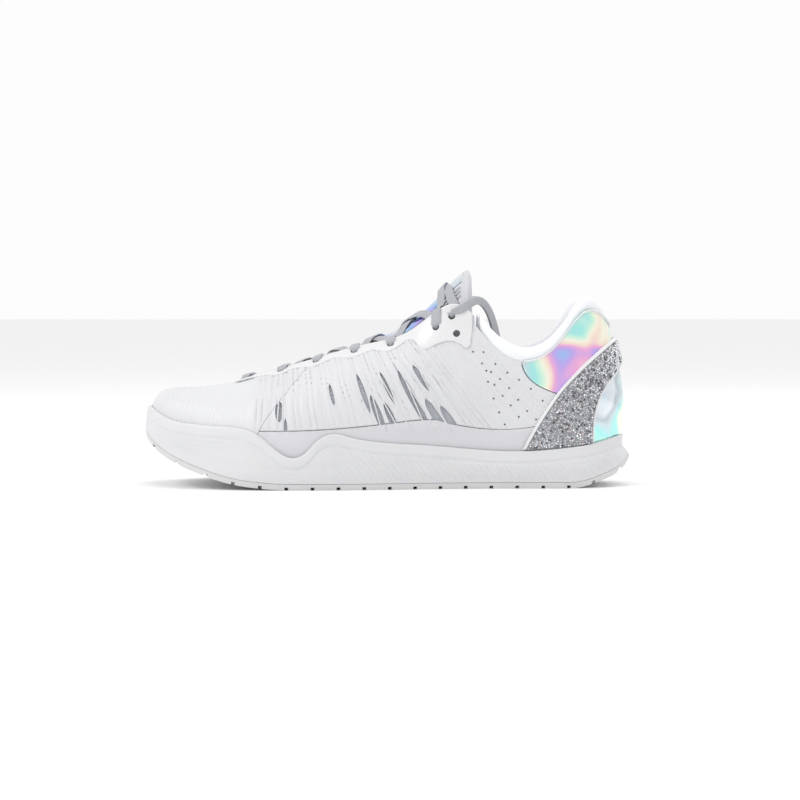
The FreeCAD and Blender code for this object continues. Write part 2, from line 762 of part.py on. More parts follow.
def ribbon(stops, samples_per_stop=4):
    """A flat lace through stops."""
    centres = [stop[0] for stop in stops]
    lengths = [0.0]
    for one, two in zip(centres, centres[1:]):
        lengths.append(lengths[-1] + (two - one).Length)
    middle = curve_through(centres, lengths)
    widths = []
    last = stops[0][1]
    for _, width_way, width in stops:
        way = width_way if width_way.dot(last) >= 0 else width_way * -1.0
        widths.append((way, width))
        last = way
    rails = [[], [], [], []]
    marks = []
    for i in range(len(stops) - 1):
        for k in range(samples_per_stop + (1 if i == len(stops) - 2 else 0)):
            share = k / samples_per_stop
            at = lengths[i] + (lengths[i + 1] - lengths[i]) * share
            marks.append(at)
            centre = middle.value(at)
            forward = middle.tangent(at)[0]
            way = widths[i][0] * (1 - share) + widths[i + 1][0] * share
            way = (way - forward * way.dot(forward)).normalize()
            width = widths[i][1] * (1 - share) + widths[i + 1][1] * share
            thick = forward.cross(way).normalize() * (lace_thickness / 2)
            half = way * (width / 2)
            for rail, point in zip(rails, (half + thick, half * -1 + thick, half * -1 - thick, half - thick)):
                rail.append(centre + point)
    faces = []
    for first in range(0, len(marks) - 1, FACE_SAMPLES):
        last = min(first + FACE_SAMPLES, len(marks) - 1) + 1
        edges = [curve_through(rail[first:last], marks[first:last]).toShape() for rail in rails]
        faces += [Part.makeRuledSurface(edges[i], edges[(i + 1) % 4], 1) for i in range(4)]
    for spot in (0, -1):
        corners = [rail[spot] for rail in rails]
        faces.append(Part.Face(Part.makePolygon(corners + corners[:1])))
    return sewn_solid(faces), middle.length()


# ---------------------------------------------------------------- cords of straight runs and arcs
def rounded_route(corners):
    """Straight runs joined by tangent arcs as large as the runs allow. Returns the wire, its
    length and the arcs' radii."""
    edges = []
    radii = []
    last = corners[0]
    for before, corner, after in zip(corners, corners[1:], corners[2:]):
        into = corner - before
        out = after - corner
        reach = 0.45 * min(into.Length, out.Length)
        turn = into.getAngle(out)
        into_way = into.normalize()
        out_way = out.normalize()
        start = corner - into_way * reach
        end = corner + out_way * reach
        bend = reach / math.tan(turn / 2)
        to_middle = (out_way - into_way).normalize()
        centre = corner + to_middle * (bend / math.cos(turn / 2))
        edges.append(Part.LineSegment(last, start).toShape())
        edges.append(Part.Arc(start, centre - to_middle * bend, end).toShape())
        radii.append(bend)
        last = end
    edges.append(Part.LineSegment(last, corners[-1]).toShape())
    wire = Part.Wire(edges)
    return wire, wire.Length, radii


def lace_end_corners(side):
    """The free end's route, from the mouth of the last eyelet."""
    station, drop = eyelet_places()[-2]
    here = station if side < 0 else ROUND - station
    mouth = strap_depth[1] + lace_end_diameter / 2 + 0.3
    start = edge_point(here, 2.1 - drop, mouth)
    corners = [start]
    for x, y, z in lace_end_route:
        corners.append(place(x, y if side < 0 else -y, z))
    return corners


def make_lace_end(side):
    """A free end of the lace and the aglet on it."""
    corners = lace_end_corners(side)
    wire, length, radii = rounded_route(corners)
    way = (corners[1] - corners[0]).normalize()
    circle = Part.Wire(Part.Circle(corners[0], way, lace_end_diameter / 2).toShape())
    cord = wire.makePipeShell([circle], True, True)
    tip_way = (corners[-1] - corners[-2]).normalize()
    aglet = Part.makeCylinder(aglet_diameter / 2, aglet_length, corners[-1], tip_way)
    section = math.pi * (lace_end_diameter / 2) ** 2
    print("lace end: length %.1f, volume %.1f of %.1f, radii %s"
          % (length, cord.Volume, section * length, " ".join("%.1f" % radius for radius in radii)))
    return cord, aglet, length


# ---------------------------------------------------------------- pieces of the upper
def mesh_top(station):
    """Rise of the mesh's top edge: lower where the collar rolls over it."""
    here = abs((station + TOE) % ROUND - TOE)
    drop = collar_edge_drop * (1.0 - blend(here, COLLAR_END + 0.08, COLLAR_END + 0.6))
    return rise_below_edge(station, drop)


def make_upper_mesh():
    """The knitted mesh that goes all around the shoe."""
    def point(a, b, side):
        station = 2.0 + ROUND * a
        return wall_point(station, mesh_top(station) * b, mesh_depth[side])
    return drilled(thick_sheet(point, 168, 20, ring=True))


def window_cutters():
    """Leaning four-sided openings through both sides of the cage."""
    cutters = []
    for x, z, width, height, lean in cage_windows:
        corners = [(-width / 2 - lean / 2, -height / 2), (width / 2 - lean / 2, -height / 2),
                   (width / 2 + lean / 2, height / 2), (-width / 2 + lean / 2, height / 2)]
        points = [place(x + dx, -80.0, z + dz) for dx, dz in corners]
        outline = Part.makePolygon(points + points[:1])
        cutters.append(Part.Face(outline).extrude(Vec(0, 160 * width_scale, 0)))
    return Part.makeCompound(cutters)


def heel_wrap_front(share):
    """Station of the heel wrap's front edge at a share of the wall's height."""
    return CAGE_REAR_LOW + (CAGE_REAR_HIGH - CAGE_REAR_LOW) * blend(share, 0.1, 1.0)


def make_heel_wrap():
    """The foil-covered panel around the heel."""
    def point(a, b, side):
        station = heel_wrap_front(b) * (1.0 - 2.0 * a)
        return wall_point(station, mesh_top(station) * b, overlay_depth[side])
    return thick_sheet(point, 60, 14)


def side_panel(medial, low, high, rear_gap=0.06):
    """A panel between the heel wrap and the front seam, at a share of the wall from low to high."""
    def point(a, b, side):
        share = low + (high - low) * b
        first = heel_wrap_front(share) + rear_gap
        station = first + (FRONT_SEAM - 0.03 - first) * a
        if medial:
            station = ROUND - station
        return wall_point(station, mesh_top(station) * share, overlay_depth[side])
    return thick_sheet(point, 60, 12)


def make_cage(medial):
    """The strand panel on one side, with openings that show the mesh."""
    return drilled(side_panel(medial, RAND_TOP + 0.004, 1.0)).cut(window_cutters())


def make_rand(medial):
    """The plain band low on one side."""
    return side_panel(medial, 0.0, RAND_TOP)


def eyestay_low(station):
    """Rise of the eyestay's lower edge: a deep patch at the collar, a narrow band in front."""
    here = station if station < TOE else ROUND - station
    return rise_below_edge(station, 23.0 - 13.5 * blend(here, 6.7, 7.7) - 1.0 * blend(here, 8.0, 13.0))


def make_eyestay(medial):
    """The band around the eyelets of one side."""
    first, last = COLLAR_END + 0.15, 13.2
    if medial:
        first, last = ROUND - last, ROUND - first
    return drilled(layer(eyestay_depth, first, last, eyestay_low, steady(1.0), 90, 8))


def make_toe_cap():
    """The ribbed overlay around the toe and over the vamp."""
    return drilled(layer(overlay_depth, FRONT_SEAM, ROUND - FRONT_SEAM, steady(0.0), steady(1.0), 90, 20))


def make_pieces():
    """Every piece of the shoe, by name."""
    block = sole_block()
    path = collar_path()
    pad_low = below_edge(collar_pad_depth + 0.3)
    skin_gap = 0.04
    seam = FRONT_SEAM + 0.25
    lateral_half, medial_half = lace_stops()
    bar = [bar_stop(lateral_half[0], medial_half[0])]
    lace, laced_length = ribbon(medial_half[::-1] + bar + lateral_half)
    lateral_end, lateral_aglet, end_length = make_lace_end(-1)
    medial_end, medial_aglet, _ = make_lace_end(1)
    print("lace: %.0f through the eyelets and two ends of %.0f" % (laced_length, end_length))
    back = tongue_curves()[3]
    pieces = {
        "outsole": make_outsole(block),
        "midsole": make_midsole(block),
        "midfoot_shank": shank_block(0.0),
        "strobel_board": foot_plate(0.3, *board_levels),
        "sockliner_foam": foot_plate(sockliner_side_clearance, *foam_levels),
        "sockliner_cover": foot_plate(sockliner_side_clearance, *cover_levels),
        "vamp_lining": drilled(layer(lining_depth, seam, ROUND - seam, steady(0.0), steady(1.0), 60, 14)),
        "quarter_lining_lateral": drilled(
            layer(lining_depth, COLLAR_END + 0.1, seam - skin_gap, steady(0.0), steady(1.0), 40, 14)),
        "quarter_lining_medial": drilled(
            layer(lining_depth, ROUND - seam + skin_gap, ROUND - COLLAR_END - 0.1, steady(0.0), steady(1.0), 40, 14)),
        "heel_lining": layer(lining_depth, -COLLAR_END, COLLAR_END, steady(0.0), pad_low, 60, 8),
        "toe_puff": layer(stiffener_depth, 11.6, ROUND - 11.6, steady(0.0), steady(0.5), 50, 10),
        "heel_counter": layer(stiffener_depth, -3.0, 3.0, steady(0.0), below_edge(collar_pad_depth + 1.0), 72, 12),
        "upper_mesh": make_upper_mesh(),
        "toe_cap": make_toe_cap(),
        "cage_lateral": make_cage(False),
        "cage_medial": make_cage(True),
        "rand_lateral": make_rand(False),
        "rand_medial": make_rand(True),
        "eyestay_lateral": make_eyestay(False),
        "eyestay_medial": make_eyestay(True),
        "heel_wrap": make_heel_wrap(),
        "heel_strap": strap_sheet(strap_depth, 0.0, 0.0),
        "crystal_band": strap_sheet(crystal_depth, strap_edge_width + body_gap, -strap_edge_width - body_gap),
        "strap_edge_lower": strap_sheet(edge_depth, 0.0, strap_edge_width, up=3),
        "strap_edge_upper": strap_sheet(edge_depth, -strap_edge_width, 0.0, up=3),
        "collar_foam": make_collar_foam(path),
        "collar_lining": make_collar_lining(path),
        "topline_piping": layer(strap_depth, -4.0, 4.0, below_edge(collar_edge_drop + 1.4),
                                below_edge(collar_edge_drop + 0.2), 60, 3),
        "tongue_face": tongue_layer((0, 0), (0, tongue_skin)),
        "tongue_foam": tongue_layer((0, tongue_skin + layer_gap), (1, -tongue_skin - layer_gap)),
        "tongue_lining": tongue_layer((1, -tongue_skin), (1, 0)),
        "tongue_binding": tongue_layer(
            (0, 0), (1, 0), back + bond_gap, back + bond_gap + tongue_binding_width, 4),
        "lace": lace,
        "lace_end_lateral": lateral_end,
        "lace_end_medial": medial_end,
        "aglet_lateral": lateral_aglet,
        "aglet_medial": medial_aglet,
    }
    return pieces


def main():
    """Builds every piece and writes it to its own file."""
    os.makedirs("parts", exist_ok=True)
    for name, shape in make_pieces().items():
        shape.exportStep("parts/%s.step" % name)
        box = shape.BoundBox
        print("%-24s valid %s solids %d volume %9.1f  x %7.1f %7.1f  y %6.1f %6.1f  z %6.1f %6.1f" % (
            name, shape.isValid(), len(shape.Solids), shape.Volume,
            box.XMin, box.XMax, box.YMin, box.YMax, box.ZMin, box.ZMax))


main()
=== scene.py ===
"""The looks of a low-cut left cheer shoe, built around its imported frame.

Everything is in the frame's axes: +X towards the heel, -Y towards the outer (lateral) side, +Z up.
Shapes are worked out in millimetres and written to the meshes in metres. A place on the upper is
given by a station, which counts once around the shoe (0 at the back of the heel, 14 at the tip of
the toe, 28 back at the heel, lateral side first), by its rise from the sole (0) to the top edge
(1), and by its depth outwards from the face that touches the foot.
"""

import json
import logging
import math
from dataclasses import dataclass
from enum import Enum
from typing import Callable, Sequence

import bmesh
import bpy
import numpy as np
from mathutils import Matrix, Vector

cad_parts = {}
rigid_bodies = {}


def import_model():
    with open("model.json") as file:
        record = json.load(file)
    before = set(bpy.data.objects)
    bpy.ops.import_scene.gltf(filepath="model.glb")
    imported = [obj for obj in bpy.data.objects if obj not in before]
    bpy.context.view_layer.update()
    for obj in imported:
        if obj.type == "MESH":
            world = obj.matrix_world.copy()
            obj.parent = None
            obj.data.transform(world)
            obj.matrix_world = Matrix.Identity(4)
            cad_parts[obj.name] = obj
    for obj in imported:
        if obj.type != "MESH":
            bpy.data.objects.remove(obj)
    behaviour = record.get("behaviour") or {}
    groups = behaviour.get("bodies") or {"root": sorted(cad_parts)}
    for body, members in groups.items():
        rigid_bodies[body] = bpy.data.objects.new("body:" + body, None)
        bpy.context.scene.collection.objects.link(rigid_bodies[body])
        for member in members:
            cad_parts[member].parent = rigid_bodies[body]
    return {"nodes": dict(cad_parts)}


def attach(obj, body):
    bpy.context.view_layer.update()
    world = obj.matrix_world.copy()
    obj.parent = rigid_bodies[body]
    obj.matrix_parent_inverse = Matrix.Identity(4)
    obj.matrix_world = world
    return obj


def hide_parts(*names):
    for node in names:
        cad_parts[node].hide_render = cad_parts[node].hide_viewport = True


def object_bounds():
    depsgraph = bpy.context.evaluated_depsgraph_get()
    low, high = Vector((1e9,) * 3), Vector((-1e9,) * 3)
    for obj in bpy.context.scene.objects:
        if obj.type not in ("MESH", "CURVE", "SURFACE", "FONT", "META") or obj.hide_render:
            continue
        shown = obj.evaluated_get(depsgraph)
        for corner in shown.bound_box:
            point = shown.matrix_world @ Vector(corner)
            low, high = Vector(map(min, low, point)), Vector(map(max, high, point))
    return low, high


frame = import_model()
CAD_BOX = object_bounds()

LOG = logging.getLogger("cheer_shoe")
MM = 0.001
REFERENCE_SIZE = np.array([284.5034, 103.7403, 124.6])
SCALE = (np.array(CAD_BOX[1]) - np.array(CAD_BOX[0])) / MM / REFERENCE_SIZE
TOE = 14.0
ROUND = 28.0

Array = np.ndarray
Node = bpy.types.Node
Socket = bpy.types.NodeSocket


# ---------------------------------------------------------------- curves and the shape of the last
class Spline:
    """A smooth cubic curve through rows of numbers."""

    def __init__(self, values: Sequence, marks: Sequence[float] | None = None, closed: bool = False) -> None:
        """Fits the curve.

        Args:
            values: One row of numbers for each point.
            marks: The parameter at each point; 0, 1, 2 ... if left out.
            closed: Whether the curve returns to its first point.
        """
        rows = np.asarray(values, float)
        rows = rows.reshape(len(rows), -1)
        if closed:
            rows = np.vstack([rows, rows[:1]])
        self.marks = np.arange(len(rows), dtype=float) if marks is None else np.asarray(marks, float)
        self.rows = rows
        self.closed = closed
        self.slopes = self._solve_slopes()

    def _solve_slopes(self) -> Array:
        """The slope at each point that makes the curve smooth."""
        count = len(self.rows)
        steps = np.diff(self.marks)
        rises = np.diff(self.rows, axis=0) / steps[:, None]
        left = np.zeros((count, count))
        right = np.zeros_like(self.rows)
        for i in range(1, count - 1):
            left[i, i - 1 : i + 2] = steps[i], 2 * (steps[i - 1] + steps[i]), steps[i - 1]
            right[i] = 3 * (steps[i] * rises[i - 1] + steps[i - 1] * rises[i])
        if self.closed:
            left[0, 0], left[0, -1] = 1.0, -1.0
            left[-1, -2], left[-1, -1], left[-1, 1] = steps[0], 2 * (steps[-1] + steps[0]), steps[-1]
            right[-1] = 3 * (steps[0] * rises[-1] + steps[-1] * rises[0])
        else:
            near = min(4, count)
            for row, part in ((0, slice(0, near)), (count - 1, slice(count - near, count))):
                left[row, row] = 1.0
                for column in range(self.rows.shape[1]):
                    fit = np.polyfit(self.marks[part] - self.marks[row], self.rows[part, column], near - 1)
                    right[row, column] = fit[-2]
        return np.linalg.solve(left, right)

    def __call__(self, at: Array | float) -> Array:
        """The point at a parameter, or at each of an array of them."""
        where = np.asarray(at, float)
        low, high = self.marks[0], self.marks[-1]
        where = low + np.mod(where - low, high - low) if self.closed else np.clip(where, low, high)
        i = np.clip(np.searchsorted(self.marks, where, side="right") - 1, 0, len(self.marks) - 2)
        step = self.marks[i + 1] - self.marks[i]
        share = ((where - self.marks[i]) / step)[..., None]
        step = step[..., None]
        one, two = self.rows[i], self.rows[i + 1]
        out, back = self.slopes[i] * step, self.slopes[i + 1] * step
        return (one * (1 + 2 * share) * (1 - share) ** 2 + two * share**2 * (3 - 2 * share)
                + out * share * (1 - share) ** 2 + back * share**2 * (share - 1))


def unit(ways: Array) -> Array:
    """Each vector at length 1."""
    return ways / np.maximum(np.linalg.norm(ways, axis=-1, keepdims=True), 1e-12)


def ease(value: Array | float, start: float, end: float) -> Array:
    """0 before start, 1 after end, and smooth between.

    Args:
        value: The number or numbers.
        start: Where the rise begins.
        end: Where it is complete.

    Returns:
        A share from 0 to 1 for each.
    """
    share = np.clip((np.asarray(value, float) - start) / (end - start), 0.0, 1.0)
    return share * share * (3.0 - 2.0 * share)


class Last:
    """The curved surface that every layer of the upper follows."""

    feather = [
        (132.5, 0.0, 0.0), (127.0, -14.5, 14.5), (114.0, -24.5, 24.5), (95.0, -28.0, 27.0),
        (72.0, -28.5, 26.5), (48.0, -30.0, 25.5), (24.0, -33.5, 27.0), (0.0, -38.0, 31.0),
        (-24.0, -41.5, 36.5), (-48.0, -43.5, 41.0), (-71.0, -43.0, 42.5), (-92.0, -39.0, 41.5),
        (-111.0, -30.5, 37.0), (-126.0, -16.5, 27.5), (-134.3, 5.0, 5.0),
    ]
    top = [
        (124.8, 0.0, 97.5), (121.5, 13.0, 102.8), (112.5, 20.5, 106.0), (98.0, 24.5, 87.5),
        (79.0, 27.0, 78.4), (60.0, 27.0, 88.6), (42.5, 23.0, 105.0), (25.5, 19.0, 96.5),
        (9.0, 16.2, 84.4), (-14.0, 15.0, 78.0), (-36.0, 14.0, 71.5), (-56.0, 13.0, 65.5),
        (-71.0, 11.0, 61.5), (-81.5, 7.0, 58.5), (-86.0, 0.0, 56.0),
    ]
    fullness = [
        (5.5, 25.0, 9.2, 25.0), (5.2, 25.0, 7.5, 25.0), (4.5, 25.0, 4.0, 25.0), (4.0, 22.0, 3.0, 22.0),
        (4.0, 20.0, 2.5, 20.0), (4.0, 22.0, 3.0, 24.0), (5.0, 26.0, 5.0, 26.0), (6.0, 26.0, 8.0, 20.0),
        (7.0, 24.0, 14.0, 12.0), (7.5, 22.0, 18.0, 9.0), (7.5, 22.0, 20.0, 8.0), (7.0, 22.0, 22.0, 8.0),
        (6.5, 24.0, 24.0, 8.0), (5.5, 28.0, 28.0, 8.0), (4.7, 32.0, 32.0, 8.3),
    ]
    footbed = [
        (-134.5, 30.0), (-120.0, 23.5), (-105.0, 17.8), (-90.0, 13.8), (-60.0, 11.5), (-20.0, 12.0),
        (30.0, 14.5), (85.0, 18.0), (133.0, 20.5),
    ]
    seat = 2.4

    def __init__(self, scale: Array) -> None:
        """Fits the surface to the frame's size.

        Args:
            scale: How much larger the frame is than the sizes above, along each axis.
        """
        self.scale = scale
        long, wide, tall = scale
        self.footbed_curve = Spline([z * tall for _, z in self.footbed], [x * long for x, _ in self.footbed])
        rows = [(x, y) for x, y, _ in self.feather] + [(x, y) for x, _, y in self.feather[-2:0:-1]]
        flat = np.array(rows) * (long, wide)
        edge = np.column_stack([flat, self.footbed_height(flat[:, 0]) + self.seat])
        self.feather_curve = Spline(edge, closed=True)
        high = [(x, -y, z) for x, y, z in self.top] + [(x, y, z) for x, y, z in self.top[-2:0:-1]]
        self.top_curve = Spline(np.array(high) * scale, closed=True)
        pulls = np.array(self.fullness + self.fullness[-2:0:-1]) * (wide, tall, wide, tall)
        self.pull_curve = Spline(pulls, closed=True)

    def footbed_height(self, x: Array) -> Array:
        """Height of the footbed at x."""
        return self.footbed_curve(x)[..., 0]

    def outward(self, station: Array) -> Array:
        """The level direction that points out of the shoe."""
        step = 1e-3
        way = self.feather_curve(station + step) - self.feather_curve(station - step)
        return unit(np.stack([-way[..., 1], way[..., 0], np.zeros_like(way[..., 0])], axis=-1))

    def section(self, station: Array) -> tuple[Array, Array, Array, Array]:
        """The four control points of the wall's curve."""
        low, high = self.feather_curve(station), self.top_curve(station)
        out, pull = self.outward(station), self.pull_curve(station)
        up = np.array([0.0, 0.0, 1.0])
        second = low + out * pull[..., 0:1] + up * pull[..., 1:2]
        third = high + out * pull[..., 2:3] - up * pull[..., 3:4]
        return low, second, third, high

    def middle(self, station: Array, rise: Array) -> Array:
        """The foot's face of the wall."""
        a, b, c, d = self.section(np.asarray(station, float))
        t = np.asarray(rise, float)[..., None]
        return a * (1 - t) ** 3 + b * 3 * (1 - t) ** 2 * t + c * 3 * (1 - t) * t**2 + d * t**3

    def rise_way(self, station: Array, rise: Array) -> Array:
        """Direction of growing rise."""
        a, b, c, d = self.section(np.asarray(station, float))
        t = np.asarray(rise, float)[..., None]
        return (b - a) * 3 * (1 - t) ** 2 + (c - b) * 6 * (1 - t) * t + (d - c) * 3 * t**2

    def normal(self, station: Array, rise: Array) -> Array:
        """Unit vector out of the wall."""
        step = 0.02
        along = self.middle(station + step, rise) - self.middle(station - step, rise)
        return unit(np.cross(self.rise_way(station, rise), along))

    def point(self, station: Array, rise: Array, depth: Array | float) -> Array:
        """Points of a layer.

        Args:
            station: Places around the shoe.
            rise: Places up the wall.
            depth: Distances outwards from the foot's face.

        Returns:
            The points.
        """
        station, rise = np.broadcast_arrays(np.asarray(station, float), np.asarray(rise, float))
        depth = np.broadcast_to(np.asarray(depth, float), station.shape)
        return self.middle(station, rise) + self.normal(station, rise) * depth[..., None]

    def rise_below_edge(self, station: Array, drop: Array) -> Array:
        """The rise at a distance below the top edge, measured along the wall."""
        station, drop = np.broadcast_arrays(np.asarray(station, float), np.asarray(drop, float))
        steps = 40
        rises = 1.0 - np.arange(steps + 1) / steps
        flat_station, flat_drop = station.ravel(), drop.ravel()
        found = np.empty(len(flat_station))
        unique, back = np.unique(np.round(flat_station, 6), return_inverse=True)
        lines = self.middle(unique[:, None], np.broadcast_to(rises, (len(unique), steps + 1)))
        arcs = np.cumsum(np.linalg.norm(np.diff(lines, axis=1), axis=2), axis=1)
        arcs = np.column_stack([np.zeros(len(unique)), arcs])
        for k in range(len(unique)):
            here = back == k
            found[here] = np.interp(flat_drop[here], arcs[k], rises)
        return found.reshape(station.shape)

    def edge_point(self, station: Array, above: Array, depth: Array | float) -> Array:
        """Points at a distance above (or, if negative, below) the top edge.

        Args:
            station: Places around the shoe.
            above: Distances above the edge.
            depth: Distances outwards from the foot's face.

        Returns:
            The points.
        """
        station, above = np.broadcast_arrays(np.asarray(station, float), np.asarray(above, float))
        rise = self.rise_below_edge(station, np.maximum(-above, 0.0))
        up = unit(self.rise_way(station, np.ones_like(station)))
        return self.point(station, rise, depth) + up * np.maximum(above, 0.0)[..., None]

    def rise_at_height(self, station: Array, height: Array, depth: float = 0.0) -> Array:
        """The rise at which the layer at this depth passes a height.

        Args:
            station: Places around the shoe.
            height: Heights above the ground.
            depth: Depth of the layer.

        Returns:
            The rises.
        """
        station, height = np.broadcast_arrays(np.asarray(station, float), np.asarray(height, float))
        low, high = np.zeros(station.shape), np.ones(station.shape)
        for _ in range(18):
            half = (low + high) / 2
            under = self.point(station, half, depth)[..., 2] < height
            low, high = np.where(under, half, low), np.where(under, high, half)
        return low

    def find(self, x: Array, z: Array, medial: bool, depth: float) -> tuple[Array, Array]:
        """Station and rise of places given by how they look from the side.

        Args:
            x: Place along the shoe.
            z: Height.
            medial: Which side of the shoe they are on.
            depth: Depth of the layer that they are on.

        Returns:
            The stations and the rises.
        """
        x, z = np.broadcast_arrays(np.asarray(x, float), np.asarray(z, float))
        stations, rises = np.meshgrid(np.linspace(0.6, 13.6, 131), np.linspace(0.02, 0.98, 33), indexing="ij")
        if medial:
            stations = ROUND - stations
        table = self.point(stations, rises, depth)
        across, up = table[..., 0].ravel()[:, None] - x.ravel(), table[..., 2].ravel()[:, None] - z.ravel()
        gap = across**2 + up**2
        best = np.argmin(gap, axis=0)
        q, t = stations.ravel()[best].reshape(x.shape), rises.ravel()[best].reshape(x.shape)
        step = 1e-3
        for _ in range(6):
            here = self.point(q, t, depth)
            by_q = (self.point(q + step, t, depth) - here) / step
            by_t = (self.point(q, t + step, depth) - here) / step
            off_x, off_z = x - here[..., 0], z - here[..., 2]
            det = by_q[..., 0] * by_t[..., 2] - by_q[..., 2] * by_t[..., 0]
            det = np.where(np.abs(det) < 1e-6, 1e-6, det)
            q = q + np.clip((off_x * by_t[..., 2] - off_z * by_t[..., 0]) / det, -0.3, 0.3)
            t = np.clip(t + np.clip((by_q[..., 0] * off_z - by_q[..., 2] * off_x) / det, -0.1, 0.1), 0.0, 1.0)
        return q, t


@dataclass(frozen=True)
class Layers:
    """Depths of the upper's layers, inner and outer face."""

    overlay: tuple[float, float] = (2.95, 3.75)
    strap: tuple[float, float] = (3.9, 4.7)
    eyestay: tuple[float, float] = (4.05, 4.85)
    crystal: tuple[float, float] = (4.85, 5.65)
    edge: tuple[float, float] = (4.85, 6.05)
    cup: float = 4.0


LAST = Last(SCALE)
LAYERS = Layers()
COLLAR_END = 5.42
COLLAR_DROP = 5.0
RAND_TOP = 0.27
FRONT_SEAM = 10.3
EYELETS = [(-83.0, 5.0), (-61.4, 4.8), (-40.7, 4.8), (-18.6, 4.8), (2.4, 5.0), (28.5, 10.5), (37.7, 7.5)]
SPARE_EYELET = (40.4, 17.5)


def from_heel(station: Array) -> Array:
    """How many stations a place is from the back of the heel, on either side."""
    return np.abs(np.mod(np.asarray(station, float) + TOE, ROUND) - TOE)


def mesh_top(station: Array) -> Array:
    """Rise of the upper's visible top edge: lower where the collar rolls over it."""
    drop = COLLAR_DROP * (1.0 - ease(from_heel(station), COLLAR_END + 0.08, COLLAR_END + 0.6))
    return LAST.rise_below_edge(station, drop)


def heel_wrap_front(share: Array) -> Array:
    """Station of the heel panel's front edge at a share of the wall's height."""
    return 1.95 + 2.1 * ease(share, 0.1, 1.0)


def station_at_x(x: float, drop: float, depth: float) -> float:
    """The lateral station at which a point below the top edge has this x.

    Args:
        x: Place along the shoe.
        drop: Distance below the top edge.
        depth: Depth of the layer.

    Returns:
        The station.
    """
    low, high = 5.9, 13.7
    for _ in range(26):
        half = (low + high) / 2
        if LAST.edge_point(half, -drop, depth)[0] > x:
            low = half
        else:
            high = half
    return low


def eyelet_places() -> list[tuple[float, float]]:
    """Station and distance below the edge of each lateral eyelet, the spare one last."""
    return [(station_at_x(x * SCALE[0], drop, LAYERS.strap[1]), drop) for x, drop in EYELETS + [SPARE_EYELET]]


# ---------------------------------------------------------------- meshes
def new_piece(name: str, points: Array, faces: Sequence, flat: Array | None = None) -> bpy.types.Object:
    """A mesh object from points in millimetres.

    Args:
        name: The piece's name.
        points: One row for each point.
        faces: The points of each face, seen from outside in turn.
        flat: A place on a flat map for each point, in millimetres, or None.

    Returns:
        The object, linked to the scene.
    """
    mesh = bpy.data.meshes.new(name)
    mesh.from_pydata((np.asarray(points).reshape(-1, 3) * MM).tolist(), [], [list(face) for face in faces])
    if flat is not None:
        layer = mesh.uv_layers.new(name="flat")
        corner = np.empty(len(mesh.loops), np.int32)
        mesh.loops.foreach_get("vertex_index", corner)
        places = np.asarray(flat).reshape(-1, 2)[corner] * MM
        layer.data.foreach_set("uv", places.astype(np.float32).ravel())
    mesh.polygons.foreach_set("use_smooth", [True] * len(mesh.polygons))
    piece = bpy.data.objects.new(name, mesh)
    bpy.context.scene.collection.objects.link(piece)
    return piece


def heal(piece: bpy.types.Object, distance: float = 1e-6, outward: bool = False) -> bpy.types.Object:
    """Merges points that meet.

    Args:
        piece: The mesh object.
        distance: How close points have to be, in metres.
        outward: Whether to turn the faces outwards too.

    Returns:
        The same object.
    """
    work = bmesh.new()
    work.from_mesh(piece.data)
    bmesh.ops.remove_doubles(work, verts=work.verts, dist=distance)
    bmesh.ops.dissolve_degenerate(work, edges=work.edges, dist=distance)
    if outward:
        bmesh.ops.recalc_face_normals(work, faces=work.faces)
    work.to_mesh(piece.data)
    work.free()
    return piece


def crease(piece: bpy.types.Object, degrees: float = 40.0) -> bpy.types.Object:
    """Smooth shading, with edges sharper than an angle left sharp."""
    piece.data.polygons.foreach_set("use_smooth", [True] * len(piece.data.polygons))
    piece.data.set_sharp_from_angle(angle=math.radians(degrees))
    return piece


def grid_faces(columns: int, rows: int, ring: bool = False) -> Array:
    """Four-sided faces between the neighbours of a grid.

    Args:
        columns: Points along it.
        rows: Points up it.
        ring: Whether it closes on itself along.

    Returns:
        The four points of each face.
    """
    i, j = np.meshgrid(np.arange(columns if ring else columns - 1), np.arange(rows - 1), indexing="ij")
    here, after = i * rows + j, (i + 1) % columns * rows + j
    return np.stack([here, here + 1, after + 1, after], axis=-1).reshape(-1, 4)


def shell(name: str, outer: Array, inner: Array, flat: Array | None = None) -> bpy.types.Object:
    """A closed sheet between two grids of points.

    Args:
        name: The piece's name.
        outer: Grid of points on the outside, along then up.
        inner: The same grid on the inside.
        flat: Flat places of the grid's points, in millimetres.

    Returns:
        The object.
    """
    across, up = outer.shape[:2]
    total = across * up
    front = grid_faces(across, up)
    faces = [front, front[:, ::-1] + total]
    k = np.arange(across - 1)
    nxt = k + 1
    low, high = k * up, k * up + up - 1
    faces.append(np.stack([low, nxt * up, nxt * up + total, low + total], axis=-1))
    faces.append(np.stack([nxt * up + up - 1, high, high + total, nxt * up + up - 1 + total], axis=-1))
    m = np.arange(up - 1)
    faces.append(np.stack([m + 1, m, m + total, m + 1 + total], axis=-1))
    last = (across - 1) * up + m
    faces.append(np.stack([last, last + 1, last + 1 + total, last + total], axis=-1))
    points = np.concatenate([outer.reshape(-1, 3), inner.reshape(-1, 3)])
    both = None if flat is None else np.concatenate([flat.reshape(-1, 2)] * 2)
    return new_piece(name, points, np.concatenate(faces).tolist(), both)


def flat_map(grid: Array) -> Array:
    """Distances along and up a grid of points."""
    along = np.cumsum(np.linalg.norm(np.diff(grid[:, grid.shape[1] // 2], axis=0), axis=1))
    up = np.cumsum(np.linalg.norm(np.diff(grid, axis=1), axis=2), axis=1)
    flat = np.zeros(grid.shape[:2] + (2,))
    flat[1:, :, 0] = along[:, None]
    flat[:, 1:, 1] = up
    return flat


